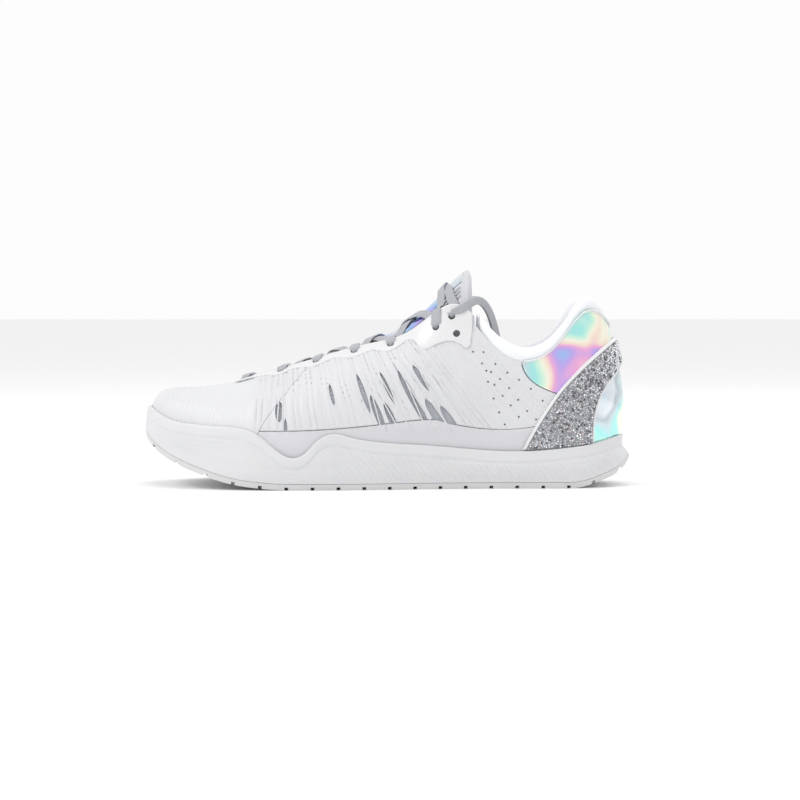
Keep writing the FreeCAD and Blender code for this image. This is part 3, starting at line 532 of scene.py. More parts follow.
def edge_round(flat: Array, radius: float, ends: bool = True) -> Array:
    """How far a sheet's outer face has risen at each point, 0 at its edge and 1 past a radius.

    Args:
        flat: The sheet's flat map.
        radius: How far in the rounding reaches.
        ends: Whether its two ends are rounded too.

    Returns:
        A share from 0 to 1 for each point.
    """
    up = flat[..., 1]
    near = np.minimum(up, up[:, -1:] - up)
    if ends:
        near = np.minimum(near, np.minimum(flat[..., 0], flat[-1:, :, 0] - flat[..., 0]))
    share = np.clip(near / radius, 0.0, 1.0)
    return np.sqrt(np.maximum(1.0 - (1.0 - share) ** 2, 0.0))


def spread(count: int, edge: float = 0.02) -> Array:
    """Numbers from 0 to 1 that are closer together at both ends."""
    plain = np.linspace(0.0, 1.0, count - 4)
    return np.sort(np.concatenate([plain, [edge * 0.25, edge, 1 - edge, 1 - edge * 0.25]]))


def prism(outline: Array, away: Array) -> tuple[Array, list[list[int]]]:
    """A closed prism from an outline and the way to its other end."""
    count = len(outline)
    points = np.concatenate([outline, outline + away])
    faces = [list(range(count))[::-1], list(range(count, 2 * count))]
    faces += [[k, (k + 1) % count, (k + 1) % count + count, k + count] for k in range(count)]
    return points, faces


class Cutter:
    """Collects closed prisms, and cuts them all out of a piece at once."""

    def __init__(self) -> None:
        """Starts with nothing to cut."""
        self.points: list[Array] = []
        self.faces: list[list[int]] = []
        self.count = 0

    def add(self, outline: Array, away: Array) -> None:
        """Adds one prism."""
        points, faces = prism(outline, away)
        self.faces += [[k + self.count for k in face] for face in faces]
        self.points.append(points)
        self.count += len(points)

    def drill(self, start: Array, way: Array, radius: float, length: float, sides: int = 20) -> None:
        """Adds a round hole.

        Args:
            start: Middle of the hole's start.
            way: Its direction.
            radius: Its radius.
            length: Its length.
            sides: How many sides the drill has.
        """
        across = unit(np.cross(way, np.array([0.3, 0.2, 0.93])))
        other = np.cross(way, across)
        turn = np.linspace(0.0, 2 * math.pi, sides, endpoint=False)[:, None]
        self.add(start + (across * np.cos(turn) + other * np.sin(turn)) * radius, way * length)

    def cut(self, piece: bpy.types.Object) -> bpy.types.Object:
        """Cuts every prism out of a piece."""
        tool = heal(new_piece("cutter", np.concatenate(self.points), self.faces), outward=True)
        modifier = piece.modifiers.new("cut", "BOOLEAN")
        modifier.operation, modifier.solver, modifier.object = "DIFFERENCE", "EXACT", tool
        replace_mesh(piece)
        bpy.data.objects.remove(tool)
        return piece


def replace_mesh(piece: bpy.types.Object) -> None:
    """Makes what a piece's modifiers give its own mesh, and removes them."""
    graph = bpy.context.evaluated_depsgraph_get()
    result = bpy.data.meshes.new_from_object(
        piece.evaluated_get(graph), preserve_all_data_layers=True, depsgraph=graph)
    piece.modifiers.clear()
    old = piece.data
    piece.data = result
    bpy.data.meshes.remove(old)


def dress(piece: bpy.types.Object, finish: "Finish", body: str = "shoe",
          stands_for: Sequence[str] = ()) -> bpy.types.Object:
    """Gives a piece its material and the body it moves with.

    Args:
        piece: The piece.
        finish: Its finish.
        body: The body it rides on.
        stands_for: The CAD nodes it replaces.

    Returns:
        The same piece.
    """
    piece.data.materials.clear()
    piece.data.materials.append(finish.material())
    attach(piece, body)
    if stands_for:
        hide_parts(*stands_for)
    LOG.info("%s: %d faces, on %s", piece.name, len(piece.data.polygons), body)
    return piece


# ---------------------------------------------------------------- finishes
class Tree:
    """Builds a node tree with short calls."""

    def __init__(self, tree: bpy.types.NodeTree) -> None:
        """Starts on an empty tree."""
        self.tree = tree
        tree.nodes.clear()

    def add(self, kind: str, values: dict[str, object] | None = None, **settings: object) -> Node:
        """Adds a node.

        Args:
            kind: Its type.
            values: Values or output sockets for its inputs, by name or number.
            **settings: Its own properties.

        Returns:
            The node.
        """
        node = self.tree.nodes.new(kind)
        for key, value in settings.items():
            setattr(node, key, value)
        for key, value in (values or {}).items():
            self.feed(pick(node.inputs, key), value)
        return node

    def feed(self, socket: Socket, value: object) -> None:
        """Links or sets one input."""
        if isinstance(value, Node):
            value = next(output for output in value.outputs if output.enabled)
        if isinstance(value, Socket):
            self.tree.links.new(value, socket)
        else:
            socket.default_value = value

    def maths(self, operation: str, one: object, two: object = 0.0, three: object = 0.0) -> Node:
        """Adds a Math node.

        Args:
            operation: What it does.
            one: First number.
            two: Second number.
            three: Third number.

        Returns:
            The node.
        """
        return self.add("ShaderNodeMath", {0: one, 1: two, 2: three}, operation=operation)

    def ramp(self, value: object, stops: Sequence[tuple[float, tuple[float, float, float]]],
             smooth: str = "LINEAR") -> Node:
        """Adds a colour ramp.

        Args:
            value: What the ramp reads.
            stops: Place and colour of each stop.
            smooth: How it runs between stops.

        Returns:
            The node.
        """
        node = self.add("ShaderNodeValToRGB", {"Fac": value})
        node.color_ramp.interpolation = smooth
        while len(node.color_ramp.elements) < len(stops):
            node.color_ramp.elements.new(0.5)
        for element, (place, colour) in zip(node.color_ramp.elements, stops):
            element.position = place
            element.color = (*colour, 1.0)
        return node


def pick(sockets: bpy.types.bpy_prop_collection, key: str | int) -> Socket:
    """The enabled socket of a name or number."""
    if isinstance(key, int):
        return sockets[key]
    return next(socket for socket in sockets if socket.enabled and socket.name == key)


def new_group(name: str, inputs: dict[str, float], outputs: dict[str, str]) -> tuple[Tree, Node, Node]:
    """A shader node group with named inputs and outputs.

    Args:
        name: The group's name.
        inputs: Default of each number that goes in; one called Vector is a vector instead.
        outputs: Kind of each output, Float or Color.

    Returns:
        The tree, its input node and its output node.
    """
    group = bpy.data.node_groups.new(name, "ShaderNodeTree")
    for label, value in inputs.items():
        kind = "NodeSocketVector" if label == "Vector" else "NodeSocketFloat"
        socket = group.interface.new_socket(label, in_out="INPUT", socket_type=kind)
        if kind == "NodeSocketFloat":
            socket.default_value = value
    for label, kind in outputs.items():
        group.interface.new_socket(label, in_out="OUTPUT", socket_type="NodeSocket" + kind)
    tree = Tree(group)
    return tree, tree.add("NodeGroupInput"), tree.add("NodeGroupOutput")


class Effects:
    """The shader node groups that several finishes share, each built once."""

    made: dict[str, bpy.types.NodeTree] = {}

    @classmethod
    def get(cls, name: str) -> bpy.types.NodeTree:
        """The group of a name."""
        if name not in cls.made:
            cls.made[name] = {"Weave": cls.weave, "Grain": cls.grain, "Rainbow": cls.painted_iridescence,
                              "Patina": cls.patina}[name]()
        return cls.made[name]

    @staticmethod
    def weave() -> bpy.types.NodeTree:
        """Two sets of crossing threads: a height, and a mask of the gaps between them."""
        tree, into, out = new_group(
            "Weave", {"Vector": 0.0, "Pitch": 0.001}, {"Height": "Float", "Gaps": "Float"})
        split = tree.add("ShaderNodeSeparateXYZ", {"Vector": into.outputs["Vector"]})
        waves = []
        for axis in ("X", "Y", "Z"):
            turn = tree.maths("DIVIDE", split.outputs[axis], into.outputs["Pitch"])
            waves.append(tree.maths("SINE", tree.maths("MULTIPLY", turn, 2 * math.pi)))
        level = tree.maths("MULTIPLY", waves[0], tree.maths("ADD", waves[2], waves[1]))
        height = tree.maths("MULTIPLY_ADD", level, 0.25, 0.5)
        tree.feed(out.inputs["Height"], height)
        # The gaps mask marks where the knit paints its shade.
        tree.feed(out.inputs["Gaps"], tree.maths("LESS_THAN", height, 0.36))
        return tree.tree

    @staticmethod
    def grain() -> bpy.types.NodeTree:
        """Fine uneven grain over a broader unevenness."""
        tree, into, out = new_group("Grain", {"Vector": 0.0, "Size": 0.001}, {"Height": "Float"})
        scale = tree.maths("DIVIDE", 1.0, into.outputs["Size"])
        fine = tree.add("ShaderNodeTexNoise", {
            "Vector": into.outputs["Vector"], "Scale": scale, "Detail": 4.0})
        broad = tree.add("ShaderNodeTexNoise", {"Vector": into.outputs["Vector"],
                                                "Scale": tree.maths("MULTIPLY", scale, 0.06)})
        tree.feed(out.inputs["Height"], tree.maths("ADD", fine, broad))
        return tree.tree

    @staticmethod
    def painted_iridescence() -> bpy.types.NodeTree:
        """Painted iridescence: bands of the spectrum over crumpled foil, with pale highlights and grey shade
        painted in patches between, in place of the foil's light-splitting reflection.
        """
        tree, into, out = new_group("Rainbow", {"Vector": 0.0, "Size": 0.05, "Shift": 0.0},
                                    {"Color": "Color", "Height": "Float"})
        scale = tree.maths("DIVIDE", 1.0, into.outputs["Size"])
        cells = tree.add("ShaderNodeTexVoronoi", {"Vector": into.outputs["Vector"], "Scale": scale,
                                                  "Smoothness": 0.35, "Randomness": 1.0}, feature="SMOOTH_F1")
        noise = tree.add("ShaderNodeTexNoise", {
            "Vector": into.outputs["Vector"], "Scale": scale, "Detail": 1.0, "Distortion": 0.6})
        split = tree.add("ShaderNodeSeparateXYZ", {"Vector": into.outputs["Vector"]})
        slope = tree.maths("MULTIPLY", tree.maths("SUBTRACT", split.outputs["X"], split.outputs["Z"]), scale)
        patches = tree.maths("MULTIPLY", cells.outputs["Distance"], 0.7)
        value = tree.maths("MULTIPLY_ADD", slope, 0.32, patches)
        value = tree.maths("ADD", value, tree.maths("MULTIPLY_ADD", noise, 0.9, into.outputs["Shift"]))
        # Painted reflection: spectrum stops, pale highlight stops and grey shade stops.
        colour = tree.ramp(tree.maths("FRACT", value), [
            (0.00, (0.50, 0.57, 0.62)), (0.10, (0.62, 0.74, 0.78)), (0.20, (0.40, 0.84, 0.82)),
            (0.28, (0.66, 0.94, 0.76)), (0.36, (0.97, 0.94, 0.80)), (0.44, (0.97, 0.78, 0.66)),
            (0.51, (0.90, 0.45, 0.74)), (0.59, (0.55, 0.42, 0.88)), (0.67, (0.35, 0.55, 0.92)),
            (0.76, (0.66, 0.74, 0.80)), (0.90, (0.80, 0.84, 0.88)), (1.00, (0.50, 0.57, 0.62))])
        tree.feed(out.inputs["Color"], colour)
        tree.feed(out.inputs["Height"], noise)
        return tree.tree

    @staticmethod
    def patina() -> bpy.types.NodeTree:
        """A faint cloudy unevenness of tone: 1 where clean, a little less elsewhere."""
        tree, into, out = new_group(
            "Patina", {"Vector": 0.0, "Size": 0.03, "Amount": 0.05}, {"Tone": "Float"})
        noise = tree.add("ShaderNodeTexNoise", {"Vector": into.outputs["Vector"], "Detail": 5.0,
                                                "Scale": tree.maths("DIVIDE", 1.0, into.outputs["Size"])})
        drop = tree.maths("MULTIPLY", noise, into.outputs["Amount"])
        tree.feed(out.inputs["Tone"], tree.maths("SUBTRACT", 1.0, drop))
        return tree.tree


class Pattern(Enum):
    """What covers a surface."""

    GRAIN = "grain"
    KNIT = "knit"
    WOVEN = "woven"
    FOIL = "foil"
    MARBLE = "marble"
    CRYSTAL = "crystal"


@dataclass(frozen=True)
class Finish:
    """A surface: its colour, its gloss and its pattern."""

    name: str
    colour: tuple[float, float, float]
    pattern: Pattern = Pattern.GRAIN
    roughness: float = 0.5
    metallic: float = 0.0
    sheen: float = 0.0
    coat: float = 0.0
    through: float = 0.0
    subsurface: float = 0.0
    pitch: float = 0.001
    bump: float = 0.2
    # second: painted shade in the gaps and low places of knit and woven finishes; the cloud and vein colour
    # of marble.
    second: tuple[float, float, float] = (0.5, 0.5, 0.5)
    shift: float = 0.0

    def material(self) -> bpy.types.Material:
        """The finish as a material, built the first time it is asked for."""
        if self.name in bpy.data.materials:
            return bpy.data.materials[self.name]
        material = bpy.data.materials.new(self.name)
        material.use_nodes = True
        material.diffuse_color = (*self.colour, 1.0)
        tree = Tree(material.node_tree)
        shader = tree.add("ShaderNodeBsdfPrincipled", {
            "Roughness": self.roughness, "Metallic": self.metallic, "Sheen Weight": self.sheen,
            "Coat Weight": self.coat, "Coat Roughness": 0.08, "Transmission Weight": self.through,
            "Subsurface Weight": self.subsurface, "Subsurface Scale": 0.002})
        tree.add("ShaderNodeOutputMaterial", {"Surface": shader})
        place = tree.add("ShaderNodeTexCoord").outputs["Object"]
        paint = {Pattern.GRAIN: self._grain, Pattern.KNIT: self._knit, Pattern.WOVEN: self._woven,
                 Pattern.FOIL: self._foil, Pattern.MARBLE: self._marble, Pattern.CRYSTAL: self._crystal}
        colour, height, depth = paint[self.pattern](tree, place)
        tree.feed(shader.inputs["Base Color"], colour)
        if height is not None:
            bump = tree.add("ShaderNodeBump", {"Height": height, "Strength": self.bump, "Distance": depth})
            tree.feed(shader.inputs["Normal"], bump)
        return material

    def _effect(self, tree: Tree, name: str, place: Socket, **values: float) -> Node:
        """Places a shared effect in the material.

        Args:
            tree: The material's tree.
            name: The effect.
            place: The coordinates it follows.
            **values: Its own numbers.

        Returns:
            The group's node.
        """
        node = tree.add("ShaderNodeGroup", node_tree=Effects.get(name))
        tree.feed(node.inputs["Vector"], place)
        for key, value in values.items():
            tree.feed(node.inputs[key], value)
        return node

    def _toned(self, tree: Tree, place: Socket, colour: object) -> Socket:
        """A colour with a faint cloudy tone over it.

        Args:
            tree: The material's tree.
            place: The coordinates it follows.
            colour: The colour.

        Returns:
            The toned colour.
        """
        tone = self._effect(tree, "Patina", place, Amount=0.07)
        shade = tree.add("ShaderNodeCombineColor", {"Red": tone, "Green": tone, "Blue": tone})
        return tree.add("ShaderNodeMix", {0: 1.0, 6: colour, 7: shade},
                        data_type="RGBA", blend_type="MULTIPLY").outputs[2]

    def _grain(self, tree: Tree, place: Socket) -> tuple[object, object, float]:
        """Plain colour with a fine grain."""
        grain = self._effect(tree, "Grain", place, Size=self.pitch)
        return self._toned(tree, place, (*self.colour, 1.0)), grain, 0.0004

    def _knit(self, tree: Tree, place: Socket) -> tuple[object, object, float]:
        """A knit with painted shade in its small gaps, which take the darker second colour."""
        weave = self._effect(tree, "Weave", place, Pitch=self.pitch)
        tones = {6: (*self.colour, 1.0), 7: (*self.second, 1.0)}
        colour = tree.add("ShaderNodeMix", {0: weave.outputs["Gaps"], **tones}, data_type="RGBA")
        return self._toned(tree, place, colour.outputs[2]), weave.outputs["Height"], 0.0004

    def _woven(self, tree: Tree, place: Socket) -> tuple[object, object, float]:
        """Threads that run along a tape or lace, on its flat map, with painted shade between them: the low
        places take the darker second colour.
        """
        flat = tree.add("ShaderNodeUVMap", uv_map="flat")
        split = tree.add("ShaderNodeSeparateXYZ", {"Vector": flat})
        along = tree.maths("DIVIDE", split.outputs["X"], self.pitch)
        over = tree.maths("DIVIDE", split.outputs["Y"], self.pitch)
        one = tree.maths("SINE", tree.maths("MULTIPLY", tree.maths("ADD", along, over), 2 * math.pi))
        two = tree.maths("SINE", tree.maths("MULTIPLY", tree.maths("SUBTRACT", along, over), 2 * math.pi))
        height = tree.maths("MULTIPLY_ADD", tree.maths("MAXIMUM", one, two), 0.5, 0.5)
        # Painted shade: the colour goes towards the darker second colour where the threads' height is low.
        colour = tree.add("ShaderNodeMix", {0: height, 6: (*self.second, 1.0), 7: (*self.colour, 1.0)},
                          data_type="RGBA")
        return self._toned(tree, place, colour.outputs[2]), height, 0.0003

    def _foil(self, tree: Tree, place: Socket) -> tuple[object, object, float]:
        """Foil with its light-splitting reflection painted in as fixed bands of colour."""
        bands = self._effect(tree, "Rainbow", place, Size=self.pitch, Shift=self.shift)
        return bands.outputs["Color"], bands.outputs["Height"], 0.0008

    def _marble(self, tree: Tree, place: Socket) -> tuple[object, object, float]:
        """Satin with soft grey-blue clouds and veins."""
        cloud = tree.add("ShaderNodeTexNoise", {"Vector": place, "Scale": 1.0 / self.pitch, "Detail": 3.0,
                                                "Distortion": 1.6})
        colour = tree.ramp(cloud.outputs[0], [(0.30, self.colour), (0.50, self.colour), (0.58, self.second),
                                              (0.64, self.colour), (0.80, self.second)], "EASE")
        grain = self._effect(tree, "Grain", place, Size=0.0015)
        return colour.outputs["Color"], grain, 0.0003

    def _crystal(self, tree: Tree, place: Socket) -> tuple[object, object, float]:
        """Cut stones with painted glints: each stone's random tone picks a colour from near black to white,
        with a few blue and pink flashes, in place of its reflections.
        """
        tone = tree.add("ShaderNodeAttribute", attribute_name="tone")
        # Painted glints: the dark, grey and white stops and the blue and pink stops are reflections painted
        # into the colour.
        colour = tree.ramp(tone.outputs["Fac"], [
            (0.00, (0.06, 0.06, 0.07)), (0.16, (0.18, 0.18, 0.20)), (0.34, (0.48, 0.49, 0.51)),
            (0.60, (0.82, 0.83, 0.85)), (0.86, (0.95, 0.96, 0.97)), (0.93, (0.62, 0.74, 0.90)),
            (0.97, (0.93, 0.70, 0.66)), (1.00, (0.95, 0.96, 0.97))])
        return colour.outputs["Color"], None, 0.0


RUBBER = Finish("sole_rubber", (0.66, 0.66, 0.66), roughness=0.45, pitch=0.0006, bump=0.25)
FOAM = Finish("midsole_foam", (0.70, 0.70, 0.715), roughness=0.5, pitch=0.0007, bump=0.1, subsurface=0.1)
SHANK = Finish("shank_moulding", (0.35, 0.36, 0.38), roughness=0.5, pitch=0.001)
# In the knit finishes the second colour is painted shade in the gaps between the threads.
BOARD = Finish("board_fleece", (0.82, 0.82, 0.80), Pattern.KNIT, 0.9, pitch=0.0012, second=(0.6, 0.6, 0.58))
INSOLE_CLOTH = Finish("insole_cloth", (0.78, 0.80, 0.83), Pattern.KNIT, 0.85, sheen=0.3, pitch=0.0011,
                      second=(0.55, 0.57, 0.62))
LINING = Finish("lining_knit", (0.82, 0.82, 0.85), Pattern.KNIT, 0.85, sheen=0.3, pitch=0.0012,
                second=(0.60, 0.61, 0.65))
STIFFENER = Finish("stiffener_sheet", (0.80, 0.80, 0.78), roughness=0.6, pitch=0.002)
# Near-black second colour: painted shade in the mesh's gaps.
MESH = Finish("upper_knit_mesh", (0.50, 0.52, 0.56), Pattern.KNIT, 0.75, pitch=0.0010, bump=0.6,
              second=(0.16, 0.17, 0.19))
WHITE = Finish("upper_film", (0.70, 0.70, 0.72), roughness=0.42, pitch=0.0005, bump=0.06, subsurface=0.05)
RAND = Finish("rand_film", (0.66, 0.66, 0.69), roughness=0.45, pitch=0.0005, bump=0.08)
EYESTAY = Finish("eyestay_film", (0.74, 0.74, 0.75), roughness=0.32, pitch=0.0006, bump=0.05, coat=0.2)
# Foil finishes: their bands of colour are painted iridescent reflection.
HEEL_FOIL = Finish("heel_foil", (0.7, 0.8, 0.9), Pattern.FOIL, 0.2, 0.9, pitch=0.030, bump=0.35, shift=0.3)
TONGUE_FOIL = Finish("tongue_foil", (0.6, 0.7, 0.9), Pattern.FOIL, 0.2, 0.9,
                     pitch=0.03, bump=0.25, shift=0.75)
STRAP_BASE = Finish("strap_leather", (0.80, 0.80, 0.82), roughness=0.5, pitch=0.0008)
GLUE_BED = Finish("crystal_bed", (0.34, 0.34, 0.36), roughness=0.4, metallic=0.6, pitch=0.0008)
# The stones' base colour is painted glint, picked by each stone's random tone.
STONE = Finish("cut_crystal", (0.8, 0.8, 0.82), Pattern.CRYSTAL, 0.08, 0.7, coat=0.6)
PIPING = Finish("piping", (0.78, 0.78, 0.79), roughness=0.35, pitch=0.0006, bump=0.1, coat=0.2)
SATIN = Finish("collar_satin", (0.72, 0.72, 0.75), Pattern.MARBLE, 0.32, sheen=0.4, pitch=0.022, bump=0.08,
               second=(0.30, 0.32, 0.38))
TONGUE_WHITE = Finish("tongue_panel", (0.72, 0.72, 0.75), roughness=0.4, pitch=0.0008, bump=0.1, sheen=0.2)
# In the woven finishes the second colour is painted shade between the threads.
BINDING = Finish("binding_tape", (0.66, 0.66, 0.69), Pattern.WOVEN, 0.6, sheen=0.3, pitch=0.0009,
                 second=(0.44, 0.45, 0.49))
LACE_CLOTH = Finish("lace_cloth", (0.52, 0.53, 0.56), Pattern.WOVEN, 0.45, 0.15, sheen=0.3, pitch=0.0008,
                    bump=0.5, second=(0.24, 0.25, 0.28))
AGLET = Finish("aglet_film", (0.86, 0.87, 0.89), roughness=0.12, through=0.5, pitch=0.002)
THREAD = Finish("stitch_thread", (0.72, 0.72, 0.75), roughness=0.6, sheen=0.3, pitch=0.0003)
SILVER = Finish("silver_thread", (0.42, 0.43, 0.47), roughness=0.35, metallic=0.5, pitch=0.0004)

CAD_FINISHES = {
    "outsole": RUBBER, "midfoot_shank": SHANK, "strobel_board": BOARD, "vamp_lining": LINING,
    "quarter_lining_lateral": LINING, "quarter_lining_medial": LINING, "heel_lining": LINING,
    "toe_puff": STIFFENER, "heel_counter": STIFFENER, "upper_mesh": MESH, "heel_strap": STRAP_BASE,
    "crystal_band": GLUE_BED,
}


def dress_cad() -> None:
    """Gives every CAD node that stays its material."""
    for name, finish in CAD_FINISHES.items():
        data = frame["nodes"][name].data
        data.materials.clear()
        data.materials.append(finish.material())


# ---------------------------------------------------------------- sole
@dataclass
class Sole:
    """The foam cup, with its sculpted side."""

    columns: int = 1000
    rows: int = 34
    band: float = 5.5
    rib_pitch: float = 3.7
    rib_depth: float = 0.45
    lip: float = 0.8
    outsole: float = 3.6

    toe_line = [(-142.6, 36.0), (-141.3, 30.0), (-133.1, 21.0), (-120.8, 14.1), (-105.5, 8.4), (-90.8, 3.9),
                (-74.0, 1.2), (-64.0, 0.3), (-55.0, 0.0)]
    heel_line = [(108.0, 0.0), (114.0, 0.9), (122.5, 3.6), (132.5, 7.4), (139.4, 12.5), (142.6, 18.2)]
    top_line = [
        (-143.0, 48.0), (-134.7, 43.2), (-126.9, 39.6), (-114.9, 37.5), (-96.9, 36.3), (-77.7, 33.6),
        (-63.9, 24.0), (-53.2, 18.5), (-44.7, 21.9), (-37.5, 29.4), (-30.3, 32.1), (-20.9, 30.3), (3.2, 26.6),
        (25.4, 25.0), (54.6, 22.3), (81.0, 21.5), (103.4, 23.3), (120.0, 25.7), (137.5, 29.6), (143.0, 30.0),
    ]
    levels = [-6.0, 0.0, 6.0, 12.0, 18.0, 24.0, 31.0, 38.0, 49.0]
    side = [2.2, 2.6, 4.3, 4.8, 3.6, 2.1, 1.7, 1.5, 1.3]
    heel = [5.0, 5.0, 5.2, 5.6, 6.0, 1.7, 1.1, 1.1, 1.1]
    toe = [3.9, 3.9, 3.9, 3.9, 3.9, 3.9, 3.8, 2.8, 1.0]

    def line(self, points: Sequence[tuple[float, float]]) -> Spline:
        """A height along x, with the distance along the line as its parameter."""
        rows = np.array(points) * (SCALE[0], SCALE[2])
        marks = np.concatenate([[0.0], np.cumsum(np.linalg.norm(np.diff(rows, axis=0), axis=1))])
        return Spline(rows, marks)

    def height_of(self, points: Sequence[tuple[float, float]], x: Array) -> Array:
        """The height of a line at x."""
        curve = self.line(points)
        fine = curve(np.linspace(curve.marks[0], curve.marks[-1], 600))
        return np.interp(x, fine[:, 0], fine[:, 1])

    def ground(self, x: Array) -> Array:
        """The height of the midsole's underside."""
        toe, heel = self.height_of(self.toe_line, x), self.height_of(self.heel_line, x)
        return self.outsole + np.where(x < 0, toe, heel)

    def wall(self, station: Array, height: Array) -> Array:
        """The midsole's outer face."""
        inner = LAST.point(station, LAST.rise_at_height(station, height, LAYERS.cup), LAYERS.cup)
        away = from_heel(station)
        heel = 1.0 - ease(away, 0.3, 2.2)
        toe = ease(away, 10.5, 13.5)
        table = np.column_stack([self.side, self.heel, self.toe])
        widths = Spline(table, np.array(self.levels) * SCALE[2])(height)
        width = widths[..., 0] * (1 - heel - toe) + widths[..., 1] * heel + widths[..., 2] * toe
        points = inner + LAST.outward(station) * width[..., None]
        points[..., 2] = height
        return points

    def relief(self, points: Array, low: Array, high: Array) -> Array:
        """How far the sculpted side stands out at each point.

        Args:
            points: Points on the side.
            low: Height of the side's lower edge there.
            high: Height of its upper edge.

        Returns:
            Distances outwards.
        """
        x, z = points[..., 0], points[..., 2]
        below = high - z
        above = z - low
        band = 0.35 * (1.0 - ease(below, self.band, self.band + 1.0))
        groove = -0.3 * np.exp(-(((below - self.band - 1.2) / 0.6) ** 2))
        ribs = np.abs(np.mod((x + 0.9 * z) / self.rib_pitch, 1.0) * 2.0 - 1.0) - 0.5
        reach = ease(x, -45.0, -25.0) * (1.0 - ease(x, 128.0, 140.0))
        reach = reach * ease(above, 0.8, 2.5) * ease(below, self.band + 1.6, self.band + 3.6)
        flow = np.sin(2 * math.pi * below / 2.6) * (1.0 - ease(x, -62.0, -25.0)) * ease(x, -128.0, -108.0)
        flow = flow * ease(below, self.band + 1.0, self.band + 3.0) * (1.0 - ease(below, 13.0, 20.0))
        return band + groove + ribs * self.rib_depth * 2.0 * reach + 0.16 * flow

    def build(self) -> None:
        """Makes the midsole."""
        station = np.linspace(0.0, ROUND, self.columns, endpoint=False)[:, None]
        share = spread(self.rows, 0.02)[None, :]
        x = LAST.point(station, 0.4, LAYERS.cup)[..., 0]
        for _ in range(3):
            low, high = self.ground(x), self.height_of(self.top_line, x)
            height = low + (high - low) * share
            points = self.wall(station, height)
            x = points[..., 0]
        low, high = self.ground(x), self.height_of(self.top_line, x)
        near = np.clip(1.0 - (high - height) / self.lip, 0.0, 1.0)
        corner = self.lip * (1.0 - np.sqrt(1.0 - near**2))
        way = LAST.outward(np.broadcast_to(station, height.shape))
        outer = points + way * (self.relief(points, low, high) - corner)[..., None]
        rim = high[:, -1:]
        rims = []
        for drop in (0.0, 2.0, 4.5):
            level = rim - drop
            ring = LAST.point(station, LAST.rise_at_height(station, level, LAYERS.cup), LAYERS.cup)
            ring[..., 2] = level
            rims.append(ring)
        foot = LAST.feather_curve(station[:, 0])
        spine = foot.copy()
        spine[:, 1] = 0.0
        mirrored = LAST.feather_curve(ROUND - station[:, 0])
        spine[:, 0] = np.clip((foot[:, 0] + mirrored[:, 0]) / 2, -112.0 * SCALE[0], 108.0 * SCALE[0])
        floor = [foot + (spine - foot) * k for k in (0.0, 0.35, 0.7, 1.0)]
        for row in floor:
            row[:, 2] = LAST.footbed_height(row[:, 0])
        base = [outer[:, 0] + (spine - outer[:, 0]) * k for k in (1.0, 0.7, 0.35)]
        for row in base:
            row[:, 2] = self.ground(row[:, 0])
        grid = np.concatenate([np.stack(base, axis=1), outer, *rims, np.stack(floor, axis=1)], axis=1)
        quads = grid_faces(*grid.shape[:2], ring=True)
        piece = new_piece("midsole_cup", grid, quads.tolist())
        heal(piece, 2e-5)
        crease(piece, 50.0)
        dress(piece, FOAM, stands_for=["midsole"])


# ---------------------------------------------------------------- upper
def strand_line(x: Array, z: Array) -> Array:
    """Which strand a place lies on: the x at which the strand crosses half height."""
    middle = 45.0
    return (x - 0.42 * (middle - z)) / (1.0 + 0.0065 * (middle - z))


def strand_x(line: float, z: Array) -> Array:
    """Where a strand is at a height."""
    middle = 45.0
    return line * (1.0 + 0.0065 * (middle - z)) + 0.42 * (middle - z)


@dataclass(frozen=True)
class Window:
    """A pointed opening between two strands: its strand, heights and width."""

    line: float
    low: float
    high: float
    width: float


